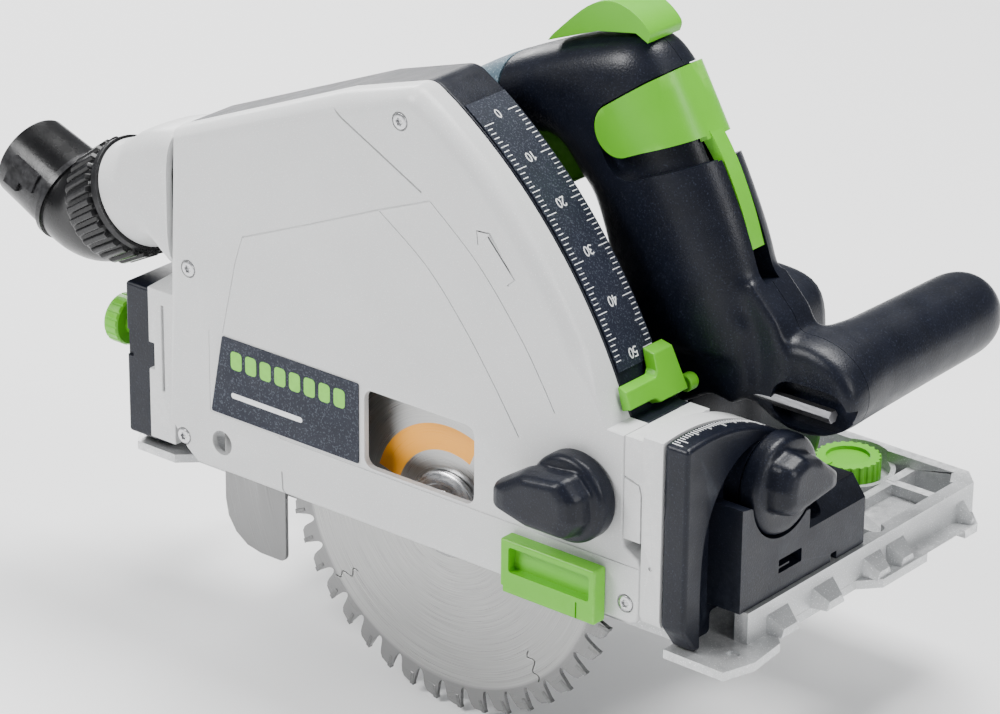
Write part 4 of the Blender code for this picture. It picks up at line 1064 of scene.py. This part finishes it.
def wing_knob(name, axis, centre, foot, sign, points, body, node, radius=17.0):
    """A disc with a rounded rim and a crescent wing that rises from it."""
    disc = [(0.05, 0.0), (radius - 0.8, 0.0), (radius, 0.8), (radius, 6.6), (radius - 1.2, 8.4),
            (radius - 3.5, 9.0), (0.05, 9.4)]
    ring = turned([(r, foot + sign * d) for r, d in disc], axis, centre, 72)
    base = [(centre[0] + u, centre[1] + v) for u, v in points]
    middle = Vector((sum(p[0] for p in base) / len(base), sum(p[1] for p in base) / len(base)))
    sections = []
    hub = Vector(centre)
    for rise, scale in ((2.0, 0), (8.5, 0), (9.4, 1.0), (13.5, 0.97), (16.5, 0.90), (18.2, 0.78),
                        (19.0, 0.62)):
        if scale:
            ring_points = [middle + (Vector(p) - middle) * scale for p in base]
        else:
            ring_points = [hub + (Vector(p) - hub) * min(1, (radius - 1) / (Vector(p) - hub).length)
                           for p in base]
        sections.append([lift(axis, *p, foot + sign * rise) for p in ring_points])
    knob = moulded(name, joined(ring, loft(sections)), 0.6, 5)
    dress(knob, BLACK, body, [node], sharp=60)


def knobs():
    wing = rounded([(-28.5, -8, 2.5), (-28.5, 0.5, 2.5), (-14, 10, 8), (6, 12.5, 4), (12.5, 6, 4),
                                       (13, -4, 4), (7, -12, 5), (-12, -12, 8)], 6)
    wing_knob("guard_wing_knob", "Y", GUARD_KNOB, COVER_Y - 0.4, -1, wing, "splinter_clamp",
              "splinter_guard_knob")
    wing = rounded([(-15, 4, 4), (-12, 12.5, 5), (-3, 15.5, 5), (9, 10.5, 6), (20.6, 1, 2),
                                       (20.6, -4.6, 2), (-9, -7.8, 3), (-15, -4, 4)], 6)
    wing_knob("front_wing_knob", "X", FRONT_KNOB, 118.6, 1, wing, "front_clamp", "front_bevel_knob",
              FRONT_KNOB_R)
    wing = rounded([(-12, 8, 4), (-8, 13, 4), (8, 13, 5), (22.5, 4, 2.5), (22.5, -4.5, 2.5),
                                       (-4, -12, 6), (-12, -6, 4)], 6)
    wing_knob("rear_wing_knob", "X", REAR_KNOB, -160.4, -1, wing, "rear_clamp", "rear_bevel_knob")
    profile = [(0.05, -160.5), (5.0, -160.5), (5.0, -172.4), (9.2, -172.4), (10.0, -173.2), (10.0, -179.0),
               (9.0, -180.0), (6.5, -180.0), (6.0, -177.0), (0.05, -177.0)]
    knob = raw("undercut_release_knob", turned(profile, "X", UNDERCUT_KNOB, 60))
    for a in turns(20):
        cut(knob, rod("X", around(UNDERCUT_KNOB, 10.3, a), 0.7, -181, -171, 10))
    dress(knob, GREEN, "undercut_release", ["undercut_knob"], sharp=40)


# ---------------------------------------------------------------- dust port

COLLAR_LENGTH = 22.0
BEND_AT = 30.0
STUB_DIRECTION = Vector((-0.942, 0.074, 0.328)).normalized()
STUB = ((11.7, 18.8), (11.9, 19.7), (14.3, 19.7), (14.6, 18.3), (30.0, 17.6), (40.4, 17.2), (41.0, 16.8))
ELBOW_WALL = 2.6


def along_spout(distance):
    return SPOUT_END + SPOUT_DIRECTION * distance


def ribbed_ring(at, radius, depth, ribs, steps):
    centre = along_spout(at)
    ring = []
    side, up = square_to(SPOUT_DIRECTION)
    for a in turns(steps):
        wave = math.cos(ribs * a)
        r = radius + depth * (1 if wave > 0.1 else (wave + 0.3) / 0.4 if wave > -0.3 else 0)
        ring.append(centre + side * r * math.cos(a) + up * r * math.sin(a))
    return ring


def dust_port():
    ribs, steps = 30, 360
    stations = [(0.3, 22.6, 0), (0.6, 23.3, 0), (3.1, 23.4, 0), (3.4, 22.9, 0), (3.7, 22.2, 0),
                (4.2, 22.2, 0),
                (5.0, 22.8, 0.6), (5.6, 23.2, 1.2), (19.8, 22.1, 1.1), (21.0, 21.8, 0.7), (21.7, 21.6, 0),
                (22.0, 21.2, 0), (22.0, 19.0, 0), (0.3, 19.0, 0)]
    shape = loft([ribbed_ring(at, r, depth, ribs, steps) for at, r, depth in stations], closed=True)
    collar = raw("ribbed_collar", shape)
    dress(collar, SMOOTH_BLACK, "dust_port", ["dust_collar"], sharp=40)
    bend = along_spout(BEND_AT)
    path = []
    first, last = along_spout(COLLAR_LENGTH + 0.3), bend + STUB_DIRECTION * 11.5
    for k in range(13):
        t = k / 12
        a, b = first.lerp(bend, t), bend.lerp(last, t)
        path.append((a.lerp(b, t), SPOUT_DIRECTION.lerp(STUB_DIRECTION, t).normalized(), 21.0 - 2.3 * t))
    path += [(bend + STUB_DIRECTION * distance, STUB_DIRECTION, r) for distance, r in STUB]
    outside = [ring_across(at, normal, r, 80) for at, normal, r in path]
    inside = [ring_across(at, normal, min(r, 19.5) - ELBOW_WALL, 80) for at, normal, r in reversed(path)]
    elbow = raw("port_elbow", loft(outside + inside, closed=True))
    side, up = (-way for way in square_to(STUB_DIRECTION))
    for turn in (-12, 165):
        a = math.radians(turn)
        out = side * math.cos(a) + up * math.sin(a)
        across = out.cross(STUB_DIRECTION)
        corners = ((19.5, -6.0), (34.5, -6.0), (34.5, 6.0), (27, 6.0), (27, 2.0), (19.5, 2.0))
        catch = loft([[bend + STUB_DIRECTION * d + across * w + out * r for d, w in corners]
                      for r in (15.0, 18.9)])
        add(elbow, catch)
    soften(elbow, 0.35, 2, 55)
    dress(elbow, SMOOTH_BLACK, "dust_port", ["dust_elbow"], sharp=40)


# ---------------------------------------------------------------- front end: block, segment, splinter guard

def front_end_block():
    top = arc(BEVEL_AXIS, BEVEL_R, 44, math.degrees(math.acos(COVER_Y / BEVEL_R)), 40)
    under = arc(BEVEL_AXIS, 66, 62, 44, 12)
    outline = top + [(COVER_Y, -5.5), (COVER_Y + 1.2, -8.3), (COVER_Y + 4, -9.5), (25.5, -9.5),
                     (25.5, 30)] + under
    block = raw("front_box", prism(outline, "X", 98.3, 107.0))
    add(block, prism([(COVER_Y, 22.5), (25.5, 22.5), (25.5, 62.5), (COVER_Y, 62.5)], "X", 90.3, 99.0))
    soften(block, 1.3, 4, 35)
    cut(block, ribbon([(98.0, 21), (97.9, 41.5), (96.9, 44.9), (92.8, 46.0), (89.5, 46.9)], 0.8, "Y",
                      COVER_Y - 1,
                      COVER_Y + 1.2),
        rod("Y", (102.5, 14), 0.9, COVER_Y - 1, COVER_Y + 0.6, 20))
    dress(block, COVER, "guard", ["front_end_block"])
    outline = [(-9, -9), (25, -9), (25, 50), (12, 56), (-9, 54)]
    rear = raw("rear_box", prism(outline, "X", -144.3, -131.1))
    cut(rear, slab((-137.4, 12, -136.2, 48), 0.4, "Y", -12, -6), box((-145, -12, 20), (-141.5, -4, 31)))
    soften(rear, 0.8, 3, 40)
    dress(rear, COVER, "guard", ["rear_end_block"])


def splinter_guard():
    guard = raw("splinter_insert", box((39.6, -19.0, -12.3), (83.2, COVER_Y - 0.3, 9.2)))
    soften(guard, 0.9, 3, 50)
    cut(guard, slab((43.5, -3.5, 80.5, 6.5), 1.2, "Y", -21, -15.0), box((38, -21, -14), (41, -14, -9.6)),
        slab((74.5, -14, 75.2, -5.5), 0.2, "Y", -21, -18.2))
    soften(guard, 0.3, 2, 60)
    dress(guard, GREEN, "splinter_slide", ["splinter_guard"])


SEGMENT_END = 26.0


def segment_outline(start_y):
    start = math.degrees(math.acos(start_y / BEVEL_R))
    top = arc(BEVEL_AXIS, BEVEL_R, SEGMENT_END, start, 40)
    return top + [(start_y, -7.0), (start_y + 7, -17.1), (12, -17.1), (12, -8.7), (top[0][0], -8.7)]


def front_segment():
    """A plate with a raised rim, a swept recess behind the knob, and the block the knob clamps."""
    segment = raw("front_bevel_segment", prism(segment_outline(COVER_Y + 0.2), "X", 107.3, 118.0))
    soften(segment, 1.8, 4, 30)
    sweep = smooth_line([(-2.5, -20), (-3, 4), (-2, 22), (1.5, 34), (7, 43), (14, 49.5), (23, 53.5),
                         (34, 54.5),
                         (44, 52)], 6)
    cut(segment,
        loft([at_x([(y + shift, z - shift * 0.6) for y, z in sweep] + [(46, -20), (shift - 2.5, -20.5)], x)
                       for x, shift in ((118.4, 0.0), (115.5, 1.2), (113.0, 3.6), (111.6, 7.5))]))
    add(segment, rod("X", FRONT_KNOB, 18.0, 109.0, 118.2, 72))
    block = [(10, -4.7), (86.4, -4.7), (86.4, 22), (51, 22), (40, 23), (27, 25), (15.5, 35), (10, 36)]
    front = raw("front_bevel_block", prism(block, "X", 109.0, 126.3))
    slope = [(126.5, 13.8), (118.6, 24.3), (130.0, 30.0), (130.0, 13.8)]
    cut(front, prism(slope, "Y", 51.5, 90), rod("X", FRONT_KNOB, FRONT_KNOB_R + 0.9, 118.3, 140, 96))
    soften(front, 0.7, 3, 30)
    add(segment, as_shape(front))
    pockets = (((33, 5.6, 39.5, 8.2), 0.4, 119.5), ((33, 2.8, 39.5, 4.9), 0.4, 119.5),
               ((39.4, 2.8, 47, 8.2), 0.5, 118.6), ((65.5, -6, 69.2, -1.4), 0.4, 121.0),
               ((53.5, 16.0, 61.5, 21.5), 2.4, 117.0))
    cut(segment, rod("X", FRONT_KNOB, FRONT_KNOB_R + 0.7, 118.25, 119.4, 96),
        *[slab(corners, radius, "X", floor, 140) for corners, radius, floor in pockets])
    soften(segment, 0.3, 2, 60)
    dress(segment, BLACK, "base", ["front_segment"], sharp=30)
    parts = []
    inner, outer = BEVEL_R - 0.05, BEVEL_R + 0.15
    for degree in range(-1, 48):
        angle = 49.5 + degree
        length = 4.6 if degree % 15 == 0 or degree == 47 else (3.6 if degree % 5 == 0 else 2.4)
        a0, a1 = math.radians(angle - 0.12), math.radians(angle + 0.12)
        corners = [(a0, inner), (a0, outer), (a1, outer), (a1, inner)]
        parts.append(loft([at_x([around(BEVEL_AXIS, r, a) for a, r in corners], x)
                           for x in (109.2, 109.2 + length)]))
    marks = raw("bevel_marks", joined(*parts))
    dress(marks, WHITE_INK, "base")


def rear_segment():
    outline = [(-5, -12), (3, -17.1), (14, -17.1), (14, -4.7), (70, -4.7), (70, 14), (56, 34), (40, 45),
               (22, 51),
               (-5, 51)]
    segment = raw("rear_bevel_segment",
                  prism(rounded([(y, z, 1.5) for y, z in outline], 5), "X", -160.0, -144.6))
    soften(segment, 1.2, 4, 35)
    cut(segment, box((-170, -12, 20), (-156.5, -3.5, 31)), rod("X", REAR_KNOB, 4.5, -170, -158.5, 40))
    dress(segment, BLACK, "base", ["rear_segment"])


# ---------------------------------------------------------------- base plate

FRONT_CAM = (78.0, 145.0)
REAR_CAM = (-96.0, 145.0)


def base_plate():
    left, deck_top, roof, rim = 164.0, -17.5, -14.0, -5.0
    deck = [(-131, 4), (107, 4), (107, -9), (134, -9.5), (138, 4), (136, 22), (128, 30), (128, 80),
            (135, 88),
            (135, 150), (128, 157), (121, left), (-146, left), (-152, left - 8), (-152, 10),
            (-163, 4), (-158, -2.5), (-138, -2.5)]
    plate = raw("cast_base", prism(deck, "Z", BASE_Z, deck_top))
    walls = [
        box((-149, 112, -18), (127, 145.5, roof)), box((122, 13, -18.1), (127.9, 157.0, rim)),
        box((-149.5, 30, -18.2), (-145, 157.2, rim)), box((-146, left - 5, -18.3), (121, left - 0.2, rim)),
        prism([(117, 158), (121, 151), (127.8, 156.9), (121.2, left - 0.3)], "Z", -18.4, rim),
        box((96.2, 145, -18.4), (100, left - 0.4, -9.2)), box((96.6, 143, -14.5), (122.5, 147.2, -9.4)),
        box((96.3, 126, -14.6), (100.1, 147.3, -9.5))]
    ribs = [box((x, 60, -18.5), (x + 4, 112.5, -12)) for x in (28, -60, -115)]
    wedges = [loft([at_x([(y, -17.9), (y + w, -17.9), (y + w, -8.6), (y, -8.6)], 126),
                    at_x([(y + 1.5, -17.8), (y + w - 1.5, -17.8), (y + w - 3, -14.6), (y + 3, -14.6)],
                         134)])
              for y, w in ((24, 14), (52, 14), (84, 12), (99, 12), (145, 6))]
    add(plate, *walls, *ribs, *wedges)
    for centre, top in ((FRONT_CAM, -9.6), (REAR_CAM, -9.7)):
        add(plate, rod("Z", centre, 18.5, -18.6, top, 64))
        cut(plate, rod("Z", centre, 16.5, roof + 0.2, 0, 64))
    cut(plate, box((-170, 116.5, -30), (150, 141.8, deck_top)), rod("Z", (121.5, 100), 4, -30, 0, 40),
        slab((40, 40, 104, 104), 6, "Z", -30, 0), slab((-145, 40, -122, 104), 6, "Z", -30, 0),
        slab((103.5, 148.5, 118.5, 156), 1.5, "Z", roof - 1.8, 0),
        *[slab((start, 118, end, 138), 2, "Z", -14.9, 0)
          for start, end in ((36, 60), (2, 28), (-32, -6), (-66, -40))],
        rod("Z", (128.0, 4.0), 2.6, -18.6, 0, 32))
    soften(plate, 0.5, 2, 40)
    dress(plate, CAST, "base", ["base_plate"], sharp=32)


def guide_cams():
    for name, centre, body in (("front_guide_cam", FRONT_CAM, "front_cam"),
                               ("rear_guide_cam", REAR_CAM, "rear_cam")):
        x = centre[0]
        ring = [around(centre, 12.9 if math.cos(24 * a) > 0.2 else 12.1, a) for a in turns(240)]
        cam = raw(f"{name}_wheel", prism(ring, "Z", -13.4, -4.5))
        cut(cam, rod("Z", centre, 8.6, -6.0, 0, 60), slab((x - 1.2, 133, x + 1.2, 138), 0.4, "Z", -5.2, 0))
        soften(cam, 0.25, 2, 55)
        dress(cam, GREEN, body, [name], sharp=35)


# ---------------------------------------------------------------- motor

def motor_ring(y, blend, scale=1.0, steps=96):
    """The motor's section at y: round, or blended towards its squarer end, about the shaft."""
    ring = []
    for a in turns(steps):
        u, v = squared_point(a, 6)
        round_x, round_z = around(MOTOR, MOTOR_R, a)
        square_x, square_z = MOTOR_END[0] + MOTOR_END[2] * u, MOTOR_END[1] + MOTOR_END[3] * v
        x, z = round_x + (square_x - round_x) * blend, round_z + (square_z - round_z) * blend
        ring.append(Vector((MOTOR[0] + (x - MOTOR[0]) * scale, y, MOTOR[1] + (z - MOTOR[1]) * scale)))
    return ring


def motor():
    outside = [motor_ring(MOTOR_START_Y, 0.0, 0.985), motor_ring(54.3, 0.0), motor_ring(78.0, 0.0)]
    outside += [motor_ring(80 + 10 * t, t * t * (3 - 2 * t)) for t in (0.15, 0.35, 0.5, 0.65, 0.85, 1.0)]
    outside += [motor_ring(113.2, 1.0), motor_ring(MOTOR_SPLIT_Y, 1.0, 0.985)]
    bore = [motor_ring(y, 0.0, 37.0 / MOTOR_R) for y in (MOTOR_SPLIT_Y, MOTOR_START_Y)]
    housing = raw("motor_barrel", loft(outside + bore, closed=True))
    for k in range(5):
        z = 12.0 + 9.0 * k
        cut(housing, box((-20, 94, z), (0, 108, z + 3.4)))
    soften(housing, 0.3, 2, 50)
    dress(housing, BLACK, "saw_unit", ["motor_housing"], sharp=40)
    shell = ((114.3, 0.985), (115.1, 1.0), (127.0, 1.0), (130.5, 0.98), (133.4, 0.93), (135.3, 0.86),
             (136.0, 0.78))
    cap = raw("motor_rear_cap", loft([motor_ring(y, 1.0, scale) for y, scale in shell]))
    cut(cap, turned([(13.5, 114.0), (37.0, 114.0), (37.0, 125.0), (13.5, 127.5)], "Y", MOTOR, 60),
        rod("Y", MOTOR, 14.0, 113.9, 118.5), rod("Y", MOTOR, 11.2, 113.8, 127.6))
    for k in range(9):
        z = MOTOR[1] - 26 + 6.0 * k
        half = 22.0 - 0.35 * abs(k - 4) ** 1.7
        cut(cap, box((MOTOR[0] - half, 130.0, z), (MOTOR[0] + half, 140.0, z + 2.6)))
    soften(cap, 0.35, 2, 50)
    dress(cap, BLACK, "saw_unit", ["motor_end_cap"], sharp=40)


# ---------------------------------------------------------------- build

BUILDERS = (side_cover, cover_screws, dust_spout, guard_housing, label_plate, depth_scale,
            depth_stop, handle_shells, handle_trim, hex_key, saw_blade, flange_stack, knobs,
            dust_port, front_end_block, splinter_guard, front_segment, rear_segment, base_plate,
            guide_cams, motor)
for build in BUILDERS:
    build()

for node_name in sorted(NODES):
    if not NODES[node_name].hide_render:
        carry_over(node_name)


# ---------------------------------------------------------------- camera, light and floor

LENS = 157.3
CAMERA_RIGHT, CAMERA_BACK = (0.772, 0.6356, 0.0082), (0.5792, -0.7087, 0.4028)
CAMERA_AT = (0.9372, -1.1782, 0.7260)
WORLD_COLOUR, WORLD_STRENGTH = (0.94, 0.96, 1.0, 1.0), 0.30
# Each area light: its name, place and aim in metres, size and power in watts.
LIGHTS = (("key", (-0.9, -1.3, 1.3), (0, 0, 0.06), (0.8, 0.6), 40),
          ("side", (1.6, -0.2, 1.0), (0, 0, 0.06), (0.35, 1.1), 15),
          ("top", (0.0, 0.5, 1.8), (0, 0, 0.05), (1.1, 0.8), 62),
          ("rear", (-1.3, 0.9, 0.8), (0, 0, 0.08), (0.5, 1.0), 18))
FLOOR_HALF, FLOOR_GAP = 9, 0.0015


def make_camera():
    camera = bpy.data.cameras.new("camera")
    camera.lens = LENS
    camera.sensor_width = 36.0
    camera.clip_start, camera.clip_end = 0.05, 30.0
    obj = linked("camera", camera)
    right = Vector(CAMERA_RIGHT).normalized()
    back = (Vector(CAMERA_BACK) - right * Vector(CAMERA_BACK).dot(right)).normalized()
    matrix = Matrix((right, back.cross(right), back)).transposed().to_4x4()
    matrix.translation = CAMERA_AT
    obj.matrix_world = matrix
    bpy.context.scene.camera = obj


def area_light(name, at, toward, size, power):
    light = bpy.data.lights.new(name, "AREA")
    light.shape = "RECTANGLE"
    light.size, light.size_y = size
    light.energy = power
    obj = linked(name, light)
    obj.location = at
    obj.rotation_mode = "QUATERNION"
    obj.rotation_quaternion = (Vector(toward) - Vector(at)).to_track_quat("-Z", "Y")


def studio():
    world = bpy.data.worlds.new("studio")
    world.use_nodes = True
    background = world.node_tree.nodes["Background"]
    background.inputs["Color"].default_value = WORLD_COLOUR
    background.inputs["Strength"].default_value = WORLD_STRENGTH
    bpy.context.scene.world = world
    for light in LIGHTS:
        area_light(*light)
    shape = bmesh.new()
    corners = [(-1, -1), (1, -1), (1, 1), (-1, 1)]
    shape.faces.new([shape.verts.new((x * FLOOR_HALF, y * FLOOR_HALF, blade_low.z - FLOOR_GAP))
                     for x, y in corners])
    floor = linked("floor", mesh_of("floor", shape))
    floor.data.materials.append(Finish("pale_floor", (0.9, 0.9, 0.9), 0.7).vary(3, 0.01).satin(12,
                                                                                               0.03).done())


make_camera()
studio()
